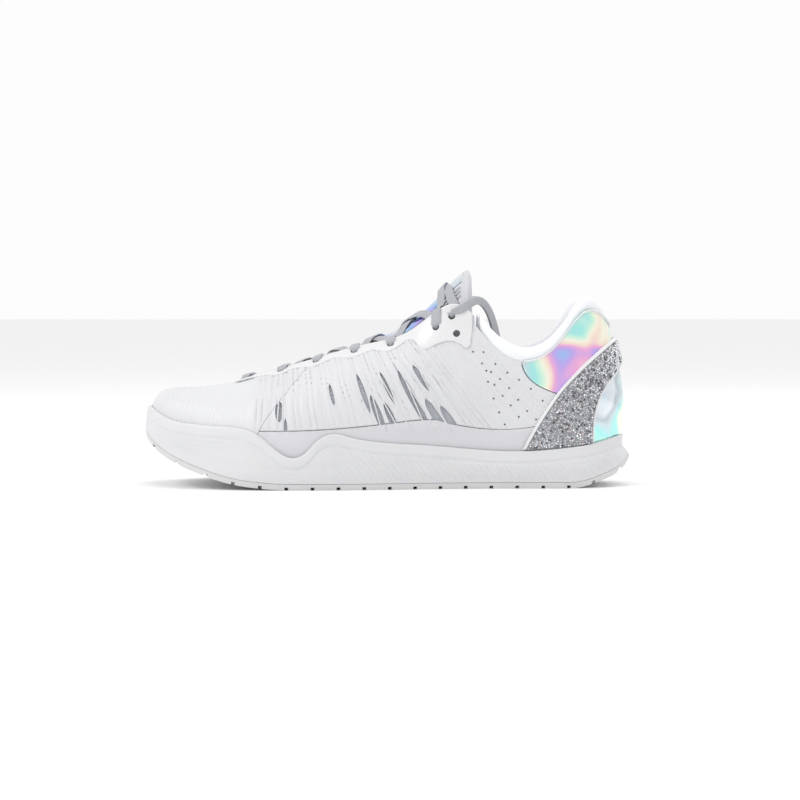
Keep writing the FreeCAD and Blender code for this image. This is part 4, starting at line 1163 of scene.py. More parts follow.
@dataclass
class Overlays:
    """The film panels over the knit: strand cage, toe, rand, eyestay and heel panel."""

    strand_pitch: float = 4.4
    strand_depth: float = 0.8
    toe_rib_pitch: float = 2.7

    windows = [
        Window(-61.0, 38.5, 50.5, 4.6), Window(-57.6, 22.0, 41.0, 2.2), Window(-29.0, 48.0, 60.0, 2.2),
        Window(-9.5, 44.0, 66.0, 3.0), Window(-5.5, 32.0, 54.0, 4.6), Window(1.0, 33.0, 50.0, 4.2),
        Window(6.5, 49.0, 67.0, 2.6), Window(19.0, 34.0, 68.0, 5.0), Window(26.5, 31.0, 52.0, 5.6),
        Window(33.0, 31.0, 48.0, 5.0), Window(31.5, 56.0, 71.0, 3.6),
    ]
    crossings = [(17.0, 21.0), (22.5, 20.0), (30.5, 27.0), (29.0, 33.5), (-7.0, -3.0), (2.8, -1.5),
                 (9.0, 5.0), (-59.5, -58.0), (-62.5, -60.0)]
    dot_rows = [((55.9, 78.3), (89.9, 50.6), 6), ((49.8, 78.5), (86.1, 40.2), 8),
                ((57.5, 67.7), (80.8, 33.2), 6), ((58.4, 61.3), (71.3, 27.7), 5)]

    def relief(self, points: Array) -> Array:
        """How far strands and ribs stand out of the film at each point."""
        x, z = points[..., 0] / SCALE[0], points[..., 2] / SCALE[2]
        line = strand_line(x, z)
        phase = line / self.strand_pitch + 0.23 * np.sin(line * 0.61) + 0.12 * np.sin(line * 1.7)
        ridge = np.abs(np.sin(math.pi * phase)) ** 0.7
        fine = 0.35 * np.abs(np.sin(math.pi * (line * 0.93 + 0.04 * z)))
        strands = (ridge + fine) * self.strand_depth
        mask = ease(line, -86.0, -70.0) * (1.0 - 0.55 * ease(line, 48.0, 62.0))
        mask = mask * ease(z, 30.0, 36.0) * (1.0 - ease(line, 92.0, 100.0))
        ribs = 0.48 * (0.5 + 0.5 * np.cos(2 * math.pi * (x - 0.32 * (z - 40.0)) / self.toe_rib_pitch))
        toe = (1.0 - ease(x, -106.0, -84.0)) * ease(x, -140.0, -134.0)
        toe = toe * (0.4 + 0.6 * (1.0 - ease(x, -125.0, -100.0)))
        return strands * mask + ribs * toe

    def panel(self, name: str, medial: bool, low: float, high: float, columns: int,
              rows: int) -> bpy.types.Object:
        """A film panel between the heel panel and the front seam.

        Args:
            name: The piece's name.
            medial: Which side of the shoe it is on.
            low: Its lower edge, as a share of the wall.
            high: Its upper edge.
            columns: Points along it.
            rows: Points up it.

        Returns:
            The panel.
        """
        a, b = np.meshgrid(np.linspace(0, 1, columns), spread(rows, 0.01), indexing="ij")
        share = low + (high - low) * b
        first = heel_wrap_front(share) + 0.04
        station = first + (FRONT_SEAM - 0.012 - first) * a
        if medial:
            station = (ROUND - station)[::-1]
            share = share[::-1]
        return self.film(name, station, mesh_top(station) * share)

    def film(self, name: str, station: Array, rise: Array) -> bpy.types.Object:
        """A film with the strands' relief, from a grid of places.

        Args:
            name: The piece's name.
            station: Grid of places around the shoe.
            rise: Grid of places up the wall.

        Returns:
            The film.
        """
        flat = flat_map(LAST.point(station, rise, LAYERS.overlay[0]))
        bare = LAST.point(station, rise, LAYERS.overlay[1])
        normal = LAST.normal(station, rise)
        soft = edge_round(flat, 0.5, ends=False)
        lift = (self.relief(bare) - 0.25) * soft - 0.3 * (1 - soft)
        outer = bare + normal * np.maximum(lift, -0.55)[..., None]
        return shell(name, outer, LAST.point(station, rise, LAYERS.overlay[0]), flat=flat)

    def window_cutter(self, medial: bool) -> Cutter:
        """Pointed openings between the strands of one side, the eyelets and the small dots."""
        cutter = Cutter()
        for window in self.windows:
            heights = np.linspace(window.low, window.high, 9)
            half = window.width / 2 * np.sqrt(np.maximum(np.sin(math.pi * np.linspace(0, 1, 9)), 0.0)) + 0.05
            centre = strand_x(window.line, heights)
            places = np.concatenate([np.column_stack([centre - half, heights]),
                                     np.column_stack([centre + half, heights])[::-1]])
            x, z = places[:, 0] * SCALE[0], places[:, 1] * SCALE[2]
            q, t = LAST.find(x, z, medial, LAYERS.overlay[1])
            inner = LAST.point(q, t, LAYERS.overlay[0] - 0.4)
            outer = LAST.point(q, t, LAYERS.overlay[1] + 2.0)
            cutter.add(inner, outer - inner)
        for start, end, count in self.dot_rows:
            for k in range(count):
                share = k / (count - 1)
                x = (start[0] + (end[0] - start[0]) * share) * SCALE[0]
                z = (start[1] + (end[1] - start[1]) * share + 1.2 * math.sin(5.0 * k)) * SCALE[2]
                q, t = LAST.find(np.array([x]), np.array([z]), medial, LAYERS.overlay[1])
                inner = LAST.point(q, t, LAYERS.overlay[0] - 0.4)[0]
                way = LAST.normal(q, t)[0]
                cutter.drill(inner, way, 0.62, 3.0, sides=10)
        drill_eyelets(cutter, medial)
        return cutter

    def build(self) -> None:
        """Makes every film panel."""
        for medial in (False, True):
            side = "medial" if medial else "lateral"
            cage = self.panel("strand_cage_" + side, medial, RAND_TOP + 0.004, 1.0, 300, 84)
            self.window_cutter(medial).cut(cage)
            crease(cage, 50.0)
            dress(cage, WHITE, stands_for=["cage_" + side])
            rand = self.panel("rand_band_" + side, medial, 0.0, RAND_TOP, 240, 16)
            crease(rand, 50.0)
            dress(rand, RAND, stands_for=["rand_" + side])
            self.threads(side, medial)
            self.eyestay(side, medial)
        self.toe()
        self.heel_panel()

    def toe(self) -> None:
        """The ribbed toe overlay."""
        a, b = np.meshgrid(np.linspace(0, 1, 420), spread(80, 0.01), indexing="ij")
        station = FRONT_SEAM + (ROUND - 2 * FRONT_SEAM) * a
        cap = self.film("toe_overlay", station, b)
        cutter = Cutter()
        drill_eyelets(cutter, False)
        drill_eyelets(cutter, True)
        cutter.cut(cap)
        crease(cap, 50.0)
        dress(cap, WHITE, stands_for=["toe_cap"])

    def threads(self, side: str, medial: bool) -> None:
        """Thin strands that cross the windows."""
        runs = []
        for low_line, high_line in self.crossings:
            heights = np.linspace(33.5, 67.0, 40)
            share = np.linspace(0, 1, 40)
            x = strand_x(low_line, heights) * (1 - share) + strand_x(high_line, heights) * share
            q, t = LAST.find(x * SCALE[0], heights * SCALE[2], medial, LAYERS.overlay[1])
            runs.append((LAST.point(q, t, LAYERS.overlay[1] + 0.1), LAST.normal(q, t)))
        piece = strips("strand_threads_" + side, runs, 0.9, 0.5)
        dress(piece, WHITE)

    def eyestay(self, side: str, medial: bool) -> None:
        """The smooth band around the eyelets, scalloped between them."""
        first, last = COLLAR_END + 0.15, 13.2
        a, b = np.meshgrid(spread(320, 0.004), spread(26, 0.03), indexing="ij")
        station = first + (last - first) * a
        eyelet_station = np.array([q for q, _ in eyelet_places()[:5]])
        near = np.min(np.abs(station[..., None] - eyelet_station), axis=-1)
        lobes = 6.0 + 4.4 * np.exp(-((near / 0.33) ** 2))
        lobes = lobes * (1.0 - ease(station, 12.9, 13.2) * 0.5)
        patch = 22.5 - 3.5 * np.exp(-((station - COLLAR_END - 0.15) / 0.06) ** 2)
        mix = ease(station, 6.75, 7.75)
        drop = patch * (1 - mix) + lobes * mix
        station = ROUND - station if medial else station
        rise = LAST.rise_below_edge(station, drop * (1 - b))
        if medial:
            station, rise = station[::-1], rise[::-1]
        inner = LAST.point(station, rise, LAYERS.eyestay[0])
        flat = flat_map(inner)
        soft = edge_round(flat, 0.7)
        depth = LAYERS.eyestay[0] + (LAYERS.eyestay[1] - LAYERS.eyestay[0]) * (0.15 + 0.85 * soft)
        piece = shell("eyelet_band_" + side, LAST.point(station, rise, depth), inner, flat=flat)
        cutter = Cutter()
        drill_eyelets(cutter, medial)
        cutter.cut(piece)
        crease(piece, 45.0)
        dress(piece, EYESTAY, stands_for=["eyestay_" + side])

    def heel_panel(self) -> None:
        """The foil-covered panel around the heel."""
        a, b = np.meshgrid(spread(260, 0.004), spread(60, 0.01), indexing="ij")
        station = heel_wrap_front(b) * (1.0 - 2.0 * a)
        rise = mesh_top(station) * b
        station, rise = station[::-1], rise[::-1]
        inner = LAST.point(station, rise, LAYERS.overlay[0])
        flat = flat_map(inner)
        soft = edge_round(flat, 0.6)
        along, up = flat[..., 0], flat[..., 1]
        dent = 0.25 * np.sin(along * 0.21 + 1.3 * np.sin(up * 0.13)) * np.sin(up * 0.17)
        depth = LAYERS.overlay[1] - 0.5 * (1 - soft) + dent * soft
        piece = shell("heel_foil_panel", LAST.point(station, rise, depth), inner, flat=flat)
        crease(piece, 45.0)
        dress(piece, HEEL_FOIL, stands_for=["heel_wrap"])


def drill_eyelets(cutter: Cutter, medial: bool) -> None:
    """Adds one side's eyelets to a cutter."""
    for station, drop in eyelet_places():
        here = ROUND - station if medial else station
        start = LAST.edge_point(here, -drop, 1.0)
        way = unit(LAST.edge_point(here, -drop, 4.0) - start)
        cutter.drill(start, way, 2.1, 7.0, sides=24)


def strips(name: str, runs: Sequence[tuple[Array, Array]], width: float, thick: float) -> bpy.types.Object:
    """Narrow half-round strips along lines on the upper.

    Args:
        name: The piece's name.
        runs: Points and outward directions along each strip.
        width: Width of a strip.
        thick: Height of its crown.

    Returns:
        One object with all the strips.
    """
    points, faces, count = [], [], 0
    turn = np.linspace(0, math.pi, 6)
    for line, normal in runs:
        forward = unit(np.gradient(line, axis=0))
        across = unit(np.cross(forward, normal))
        from_end = np.minimum(np.arange(len(line)), np.arange(len(line))[::-1])
        taper = np.sqrt(np.clip(from_end / 2.0, 0.15, 1.0))[:, None, None]
        ring = (line[:, None] + across[:, None] * (np.cos(turn) * width / 2)[None, :, None] * taper
                + normal[:, None] * (np.sin(turn) * thick)[None, :, None] * taper)
        size = len(turn)
        points.append(ring.reshape(-1, 3))
        for i in range(len(line) - 1):
            for k in range(size):
                nxt = (k + 1) % size
                faces.append([count + i * size + k, count + (i + 1) * size + k,
                              count + (i + 1) * size + nxt, count + i * size + nxt])
        faces.append([count + k for k in range(size)])
        faces.append([count + (len(line) - 1) * size + k for k in range(size)][::-1])
        count += len(line) * size
    return heal(new_piece(name, np.concatenate(points), faces), 1e-7, outward=True)


# ---------------------------------------------------------------- geometry node trees
class Geometry:
    """A Geometry Nodes tree with named sizes, run once on a piece and made its own mesh."""

    def __init__(self, name: str, sizes: dict[str, float]) -> None:
        """Starts a tree.

        Args:
            name: The tree's name.
            sizes: The named inputs and their values.
        """
        self.group = bpy.data.node_groups.new(name, "GeometryNodeTree")
        self.group.interface.new_socket("Geometry", in_out="INPUT", socket_type="NodeSocketGeometry")
        self.group.interface.new_socket("Geometry", in_out="OUTPUT", socket_type="NodeSocketGeometry")
        self.sizes = sizes
        self.ids = {}
        for label in sizes:
            socket = self.group.interface.new_socket(label, in_out="INPUT", socket_type="NodeSocketFloat")
            self.ids[label] = socket.identifier
        self.tree = Tree(self.group)
        self.into = self.tree.add("NodeGroupInput").outputs

    def run(self, piece: bpy.types.Object, instances: Node, finish: "Finish") -> bpy.types.Object:
        """Ends the tree and turns the piece into what it makes.

        Args:
            piece: The object the tree starts from.
            instances: The node whose geometry is kept.
            finish: The finish of what it makes.

        Returns:
            The same object.
        """
        real = self.tree.add("GeometryNodeRealizeInstances", {"Geometry": instances})
        done = self.tree.add("GeometryNodeSetMaterial", {"Geometry": real, "Material": finish.material()})
        self.tree.add("NodeGroupOutput", {"Geometry": done})
        modifier = piece.modifiers.new(self.group.name, "NODES")
        modifier.node_group = self.group
        for label, identifier in self.ids.items():
            modifier[identifier] = self.sizes[label]
        replace_mesh(piece)
        return piece


def stitch_row(name: str, lines: Sequence[Array], pitch: float, length: float, thick: float,
               finish: Finish, body: str) -> None:
    """Stitches along lines, made by a node tree.

    Args:
        name: The piece's name.
        lines: The points of each line.
        pitch: Distance from stitch to stitch.
        length: Length of one stitch.
        thick: Thickness of the thread.
        finish: The thread's finish.
        body: The body it rides on.
    """
    mesh = bpy.data.meshes.new(name)
    edges, count = [], 0
    for line in lines:
        edges += [(count + k, count + k + 1) for k in range(len(line) - 1)]
        count += len(line)
    mesh.from_pydata((np.concatenate(lines) * MM).tolist(), edges, [])
    piece = bpy.data.objects.new(name, mesh)
    bpy.context.scene.collection.objects.link(piece)
    sizes = {"Pitch": pitch * MM, "Stitch Length": length * MM, "Thread": thick * MM}
    nodes = Geometry(name + "_tree", sizes)
    tree, into = nodes.tree, nodes.into
    curve = tree.add("GeometryNodeMeshToCurve", {"Mesh": into["Geometry"]})
    points = tree.add("GeometryNodeCurveToPoints", {"Curve": curve, "Length": into["Pitch"]}, mode="LENGTH")
    thread = tree.add("GeometryNodeMeshCylinder", {
        "Vertices": 6, "Radius": tree.maths("MULTIPLY", into["Thread"], 0.5), "Depth": into["Stitch Length"]})
    placed = tree.add("GeometryNodeInstanceOnPoints", {"Points": points.outputs["Points"],
                                                       "Instance": thread.outputs["Mesh"],
                                                       "Rotation": points.outputs["Rotation"]})
    nodes.run(piece, placed, finish)
    crease(piece, 60.0)
    dress(piece, finish, body)


def puff(piece: bpy.types.Object, voxel: float, cap: float, pressure: float = 4.0) -> None:
    """Swells a closed pad like stuffed cloth, for the padded pieces.

    Args:
        piece: The pad, which starts a little too small.
        voxel: Size of the remesh, in millimetres.
        cap: How far a point may move, in millimetres.
        pressure: Pressure inside.
    """
    remesh = piece.modifiers.new("remesh", "REMESH")
    remesh.mode, remesh.voxel_size = "VOXEL", voxel * MM
    replace_mesh(piece)
    count = len(piece.data.vertices)
    before = np.empty(count * 3)
    piece.data.vertices.foreach_get("co", before)
    before = before.reshape(-1, 3)
    after = before
    cloth = piece.modifiers.new("cloth", "CLOTH")
    cloth.settings.use_pressure = True
    cloth.settings.uniform_pressure_force = pressure
    cloth.settings.effector_weights.gravity = 0.0
    scene = bpy.context.scene
    for moment in range(1, 21):
        scene.frame_set(moment)
        bpy.context.evaluated_depsgraph_get()
    swollen = piece.evaluated_get(bpy.context.evaluated_depsgraph_get())
    after = np.empty(count * 3)
    swollen.data.vertices.foreach_get("co", after)
    after = after.reshape(-1, 3)
    piece.modifiers.clear()
    scene.frame_set(1)
    move = after - before
    far = np.linalg.norm(move, axis=1, keepdims=True)
    move = move * np.minimum(1.0, cap * MM / np.maximum(far, 1e-9))
    piece.data.vertices.foreach_set("co", (before + move).ravel())
    smooth = piece.modifiers.new("smooth", "CORRECTIVE_SMOOTH")
    smooth.use_only_smooth, smooth.iterations = True, 4
    finer = piece.modifiers.new("finer", "SUBSURF")
    finer.levels = finer.render_levels = 1
    replace_mesh(piece)
    piece.data.polygons.foreach_set("use_smooth", [True] * len(piece.data.polygons))
    LOG.info("%s: swelled by up to %.2f mm", piece.name, float(far.max() / MM))


# ---------------------------------------------------------------- heel strap
@dataclass
class HeelStrap:
    """The strap around the heel: crystals between two pipings."""

    upper_width: float = 2.0
    lower_width: float = 1.3
    stone_pitch: float = 1.12
    stone_radius: float = 0.64
    stone_height: float = 0.55

    line = [
        (3.74, 22.8, 1.80, 26.6), (3.45, 36.5, 1.80, 37.5), (3.00, 52.5, 1.68, 48.0),
        (2.50, 63.8, 1.40, 57.0), (1.90, 74.0, 1.00, 63.5), (1.00, 83.3, 0.50, 68.0),
        (0.00, 85.0, 0.00, 69.5),
    ]

    def __post_init__(self) -> None:
        """Fits the strap's two edges."""
        rows = np.array(self.line) * (1, SCALE[2], 1, SCALE[2])
        mirror = rows[-2::-1] * (-1, 1, -1, 1)
        both = np.vstack([rows, mirror])
        self.upper, self.lower = Spline(both[:, :2]), Spline(both[:, 2:])
        self.end = len(both) - 1

    def place(self, count: Array, share: Array) -> tuple[Array, Array]:
        """Station and rise at a share of the strap's width."""
        spot = self.lower(count) * (1 - share)[..., None] + self.upper(count) * share[..., None]
        return spot[..., 0], LAST.rise_at_height(spot[..., 0], spot[..., 1])

    def width(self, count: Array) -> Array:
        """Width of the strap along it."""
        low = LAST.point(*self.place(count, np.zeros_like(count)), 0.0)
        high = LAST.point(*self.place(count, np.ones_like(count)), 0.0)
        return np.linalg.norm(high - low, axis=-1)

    def band(self, low: float, high: float, columns: int, rows: int) -> tuple[Array, Array, Array]:
        """A grid on the strap between two distances from its edges: stations, rises and across.

        Args:
            low: Lower limit; from the upper edge if negative.
            high: Upper limit; from the upper edge if zero or negative.
            columns: Points along it.
            rows: Points across it.

        Returns:
            Stations, rises and shares across.
        """
        a, b = np.meshgrid(np.linspace(0, self.end, columns), np.linspace(0, 1, rows), indexing="ij")
        wide = self.width(a)
        first = low / wide if low >= 0 else 1.0 + low / wide
        last = high / wide if high > 0 else 1.0 + high / wide
        return *self.place(a, first + (last - first) * b), b

    def piping(self, name: str, low: float, high: float, tall: float, node: str) -> None:
        """A half-round piping.

        Args:
            name: The piece's name.
            low: Its lower edge, as for band.
            high: Its upper edge, as for band.
            tall: How far it stands out.
            node: The CAD node it replaces.
        """
        station, rise, across = self.band(low, high, 260, 13)
        crown = np.sqrt(np.maximum(1.0 - (2 * across - 1) ** 2, 0.0))
        ends = np.minimum(1.0, np.minimum(np.arange(260), np.arange(260)[::-1]) / 4.0)[:, None]
        inner = LAST.point(station, rise, LAYERS.edge[0] - 0.1)
        outer = LAST.point(station, rise, LAYERS.edge[0] + 0.05 + tall * crown * np.sqrt(ends))
        piece = shell(name, outer, inner, flat=flat_map(inner))
        heal(piece, outward=True)
        crease(piece, 60.0)
        dress(piece, PIPING, stands_for=[node])

    def stones(self) -> None:
        """The cut stones, scattered over the band by a node tree."""
        station, rise, _ = self.band(self.lower_width + 0.5, -self.upper_width - 0.5, 200, 16)
        grid = LAST.point(station, rise, LAYERS.crystal[1] - 0.05)
        quads = grid_faces(*grid.shape[:2])[:, [0, 3, 2, 1]]
        piece = new_piece("strap_crystals", grid, quads.tolist())
        nodes = Geometry("stone_tree", {"Pitch": self.stone_pitch * MM, "Radius": self.stone_radius * MM,
                                        "Height": self.stone_height * MM})
        tree, into = nodes.tree, nodes.into
        spots = tree.add("GeometryNodeDistributePointsOnFaces", {
            "Mesh": into["Geometry"], "Distance Min": into["Pitch"], "Density Max": 4.0e6, "Seed": 11},
            distribute_method="POISSON")
        stone = tree.add("GeometryNodeMeshCone", {
            "Vertices": 8, "Radius Top": tree.maths("MULTIPLY", into["Radius"], 0.52),
            "Radius Bottom": into["Radius"], "Depth": into["Height"]})
        tilt = tree.add("FunctionNodeRandomValue", {
            "Min": (-0.20, -0.20, -3.1), "Max": (0.20, 0.20, 3.1), "Seed": 5}, data_type="FLOAT_VECTOR")
        tip = tree.add("FunctionNodeRotateRotation", {"Rotation": spots.outputs["Rotation"],
                                                      "Rotate By": tilt}, rotation_space="LOCAL")
        size = tree.add("FunctionNodeRandomValue", {"Min": 0.82, "Max": 1.12, "Seed": 9}, data_type="FLOAT")
        placed = tree.add("GeometryNodeInstanceOnPoints", {
            "Points": spots.outputs["Points"], "Instance": stone.outputs["Mesh"], "Rotation": tip,
            "Scale": size})
        # Random tone per stone: the stone material turns it into painted glints, dark to bright.
        tone = tree.add("FunctionNodeRandomValue", {"Min": 0.0, "Max": 1.0, "Seed": 3}, data_type="FLOAT")
        named = tree.add("GeometryNodeStoreNamedAttribute", {
            "Geometry": placed, "Name": "tone", "Value": tone}, data_type="FLOAT", domain="INSTANCE")
        nodes.run(piece, named, STONE)
        piece.data.polygons.foreach_set("use_smooth", [False] * len(piece.data.polygons))
        dress(piece, STONE)

    def build(self) -> None:
        """Makes the strap's visible pieces."""
        self.piping("strap_piping_upper", -self.upper_width, 0.0, 1.5, "strap_edge_upper")
        self.piping("strap_piping_lower", 0.0, self.lower_width, 1.0, "strap_edge_lower")
        self.stones()


# ---------------------------------------------------------------- collar
@dataclass
class Collar:
    """The stuffed collar, rolled over the top edge, and the piping under its roll."""

    depth: float = 34.0
    bulge: float = 5.0
    roll: float = 3.2
    skin: float = 0.55
    gather: float = 0.55

    def profile(self, share: Array) -> tuple[Array, Array]:
        """Distance above the edge and depth of the cloth, from inside the shoe over the top."""
        path = Spline([
            (-self.depth, 0.95), (-0.68 * self.depth, -0.45 * self.bulge), (-0.35 * self.depth, -self.bulge),
            (-0.12 * self.depth, -self.bulge), (0.45 * self.roll, -0.5 * self.bulge), (self.roll, 0.6),
            (0.4 * self.roll, 3.0), (-COLLAR_DROP + 0.7, 3.4)])
        at = share * 7.0
        spot, way = path(at), unit(path(at + 1e-3) - path(at - 1e-3))
        return spot[..., 0] + way[..., 1] * self.skin, spot[..., 1] - way[..., 0] * self.skin

    def build(self) -> None:
        """Makes the pad and the piping."""
        a, b = np.meshgrid(np.linspace(0, 1, 220), np.linspace(0, 1, 44), indexing="ij")
        station = COLLAR_END * (1.0 - 2.0 * a)
        above, depth = self.profile(b)
        heel = 1.0 - ease(np.abs(station), 1.4, 2.9)
        folds = np.sin(station * 17.0 + 2.2 * np.sin(station * 3.1) + 4.0 * b)
        depth = depth + self.gather * folds * heel * ease(b, 0.52, 0.66) * (1.0 - ease(b, 0.93, 1.0))
        above = above + 0.5 * self.gather * folds * heel * ease(b, 0.6, 0.72) * (1.0 - ease(b, 0.8, 0.9))
        back_path = [(-self.depth, 1.6), (-20.0, 1.6), (-9.0, 1.6), (-5.8, 1.5), (-4.9, 1.9), (-4.5, 2.7)]
        back = Spline(back_path)(b * 5.0)
        outer = LAST.edge_point(station, above, depth)
        inner = LAST.edge_point(station, back[..., 0], back[..., 1])
        pad = heal(shell("collar_pad", outer, inner), outward=True)
        puff(pad, 1.7, 0.9)
        dress(pad, SATIN, stands_for=["collar_lining", "collar_foam"])
        self.piping()

    def piping(self) -> None:
        """The cord sewn in under the roll."""
        a, b = np.meshgrid(np.linspace(0, 1, 240), np.linspace(0, 1, 12), indexing="ij")
        station = 4.0 * (1.0 - 2.0 * a)
        rise = LAST.rise_below_edge(station, 6.5 - 1.3 * b)
        crown = np.sqrt(np.maximum(1.0 - (2 * b - 1) ** 2, 0.0))
        inner = LAST.point(station, rise, LAYERS.strap[0] - 0.05)
        outer = LAST.point(station, rise, LAYERS.strap[0] + 0.05 + 1.0 * crown)
        cord = heal(shell("topline_cord", outer, inner, flat=flat_map(inner)), outward=True)
        crease(cord, 60.0)
        dress(cord, PIPING, stands_for=["topline_piping"])
        seam_station = station[:, 0]
        seam_rise = LAST.rise_below_edge(seam_station, np.full_like(seam_station, 7.3))
        seam = LAST.point(seam_station, seam_rise, LAYERS.overlay[1] + 0.15)
        stitch_row("topline_stitches", [seam], 1.9, 1.35, 0.34, THREAD, "shoe")


# ---------------------------------------------------------------- tongue
@dataclass
class Tongue:
    """The stuffed tongue, its foil strip, side stripes and end binding."""

    strip: float = 0.30
    strip_lift: tuple[float, float] = (0.45, 0.85)

    line = [
        (-92.0, 50.5, 9.0, 4.0, 3.4), (-81.0, 52.4, 13.0, 6.0, 3.6), (-71.0, 58.6, 17.0, 10.0, 4.6),
        (-51.0, 69.0, 21.0, 21.0, 6.0), (-36.0, 74.4, 22.0, 26.0, 7.0), (-14.0, 81.4, 22.5, 27.0, 7.5),
        (9.0, 91.5, 22.0, 32.0, 8.0), (25.5, 104.0, 22.5, 32.0, 8.0), (42.0, 121.2, 23.5, 33.0, 8.0),
        (47.0, 124.6, 24.0, 33.0, 8.0),
    ]

    def __post_init__(self) -> None:
        """Fits the tongue's curves."""
        rows = np.array(self.line) * (SCALE[0], SCALE[2], SCALE[1], SCALE[2], 1.0)
        self.front, self.back = rows[0, 0], rows[-1, 0]
        self.curve = Spline(rows[:, 1:], rows[:, 0])

    def values(self, x: Array) -> Array:
        """Ridge height, half width, arch and thickness at x."""
        return self.curve(np.clip(x, self.front, self.back))

    def point(self, x: Array, angle: Array, share: Array | float, more: Array | float) -> Array:
        """Points of the tongue.

        Args:
            x: Place along the shoe.
            angle: -1 at the lateral edge, 0 on the ridge, 1 at the medial edge.
            share: Depth as a share of the thickness.
            more: Depth to add to that, in millimetres.

        Returns:
            The points.
        """
        x, angle = np.broadcast_arrays(np.asarray(x, float), np.asarray(angle, float))
        here = self.values(x)
        depth = share * here[..., 3] + more
        turn = angle * math.pi / 2
        arch = here[..., 2] - 0.6 * depth
        return np.stack([x, (here[..., 1] - depth) * np.sin(turn),
                         here[..., 0] - depth - arch * (1.0 - np.cos(turn))], axis=-1)

    def build(self) -> None:
        """Makes the tongue."""
        x, b = np.meshgrid(np.linspace(self.front, self.back, 120), np.linspace(1, -1, 44), indexing="ij")
        pad = shell("tongue_pad", self.point(x, b, 0.0, 0.25), self.point(x, b, 1.0, -0.25))
        heal(pad, outward=True)
        puff(pad, 1.8, 0.45)
        dress(pad, TONGUE_WHITE, "tongue", ["tongue_face", "tongue_foam", "tongue_lining"])
        near, far = self.strip_lift
        reach = np.linspace(self.front + 4, self.back - 2.6, 200)
        x, b = np.meshgrid(reach, np.linspace(1, -1, 26), indexing="ij")
        angle = b * self.strip
        low = self.point(x, angle, 0.0, 0.1)
        edge = edge_round(flat_map(low), 0.4)
        strip = shell("tongue_foil_strip", self.point(x, angle, 0.0, -near - (far - near) * edge), low,
                      flat=flat_map(low))
        heal(strip, outward=True)
        crease(strip, 50.0)
        dress(strip, TONGUE_FOIL, "tongue")
        self.stripes()
        self.binding()

    def stripes(self) -> None:
        """Thin raised stripes on both sides of the foil."""
        runs = []
        for side in (-1, 1):
            for angle in (0.40, 0.47, 0.54):
                x = np.linspace(12.0 * SCALE[0], self.back - 4.0, 60)
                line = self.point(x, np.full_like(x, side * angle), 0.0, -0.45)
                out = unit(line - self.point(x, np.full_like(x, side * angle), 0.0, 0.5))
                runs.append((line, out))
        piece = strips("tongue_stripes", runs, 1.0, 0.35)
        dress(piece, SILVER, "tongue")

    def binding(self) -> None:
        """The tape folded over the tongue's end, and its stitches."""
        outside = Spline([(-3.4, 0, -1.0), (-1.2, 0, -1.15), (1.0, 0, -0.7), (2.3, 0.22, 0), (2.75, 0.5, 0),
                          (2.3, 0.78, 0), (1.0, 1, 0.7), (-1.2, 1, 1.1), (-3.4, 1, 0.9)])
        inside = Spline([(-3.4, 0, -0.35), (-1.2, 0, -0.4), (0.8, 0, 0.1), (1.7, 0.25, 0), (2.0, 0.5, 0),
                         (1.7, 0.75, 0), (0.8, 1, -0.1), (-1.2, 1, 0.35), (-3.4, 1, 0.3)])
        angle, b = np.meshgrid(np.linspace(-1.0, 1.0, 150), np.linspace(0, 8, 34), indexing="ij")
        faces = []
        for path in (outside, inside):
            spot = path(b)
            faces.append(self.point(self.back + spot[..., 0], angle, spot[..., 1], spot[..., 2]))
        tape = shell("tongue_end_tape", faces[0], faces[1], flat=flat_map(faces[0]))
        heal(tape, outward=True)
        crease(tape, 60.0)
        dress(tape, BINDING, "tongue", ["tongue_binding"])
        turn = np.linspace(-0.97, 0.97, 120)
        lines = [self.point(np.full_like(turn, self.back - 2.2), turn, 0.0, -1.2),
                 self.point(np.full_like(turn, self.back - 2.2), turn, 1.0, 1.15)]
        stitch_row("tape_stitches", lines, 2.1, 1.5, 0.36, THREAD, "tongue")


# ---------------------------------------------------------------- laces
def edge_way(station: float, drop: float) -> Array:
    """The way along the top edge, at a distance below it."""
    return unit(LAST.edge_point(station + 0.05, -drop, 2.0) - LAST.edge_point(station - 0.05, -drop, 2.0))


@dataclass(frozen=True)
class Stop:
    """A place the lace goes through: the point, the way of its width, and its width."""

    point: Array
    way: Array
    width: float


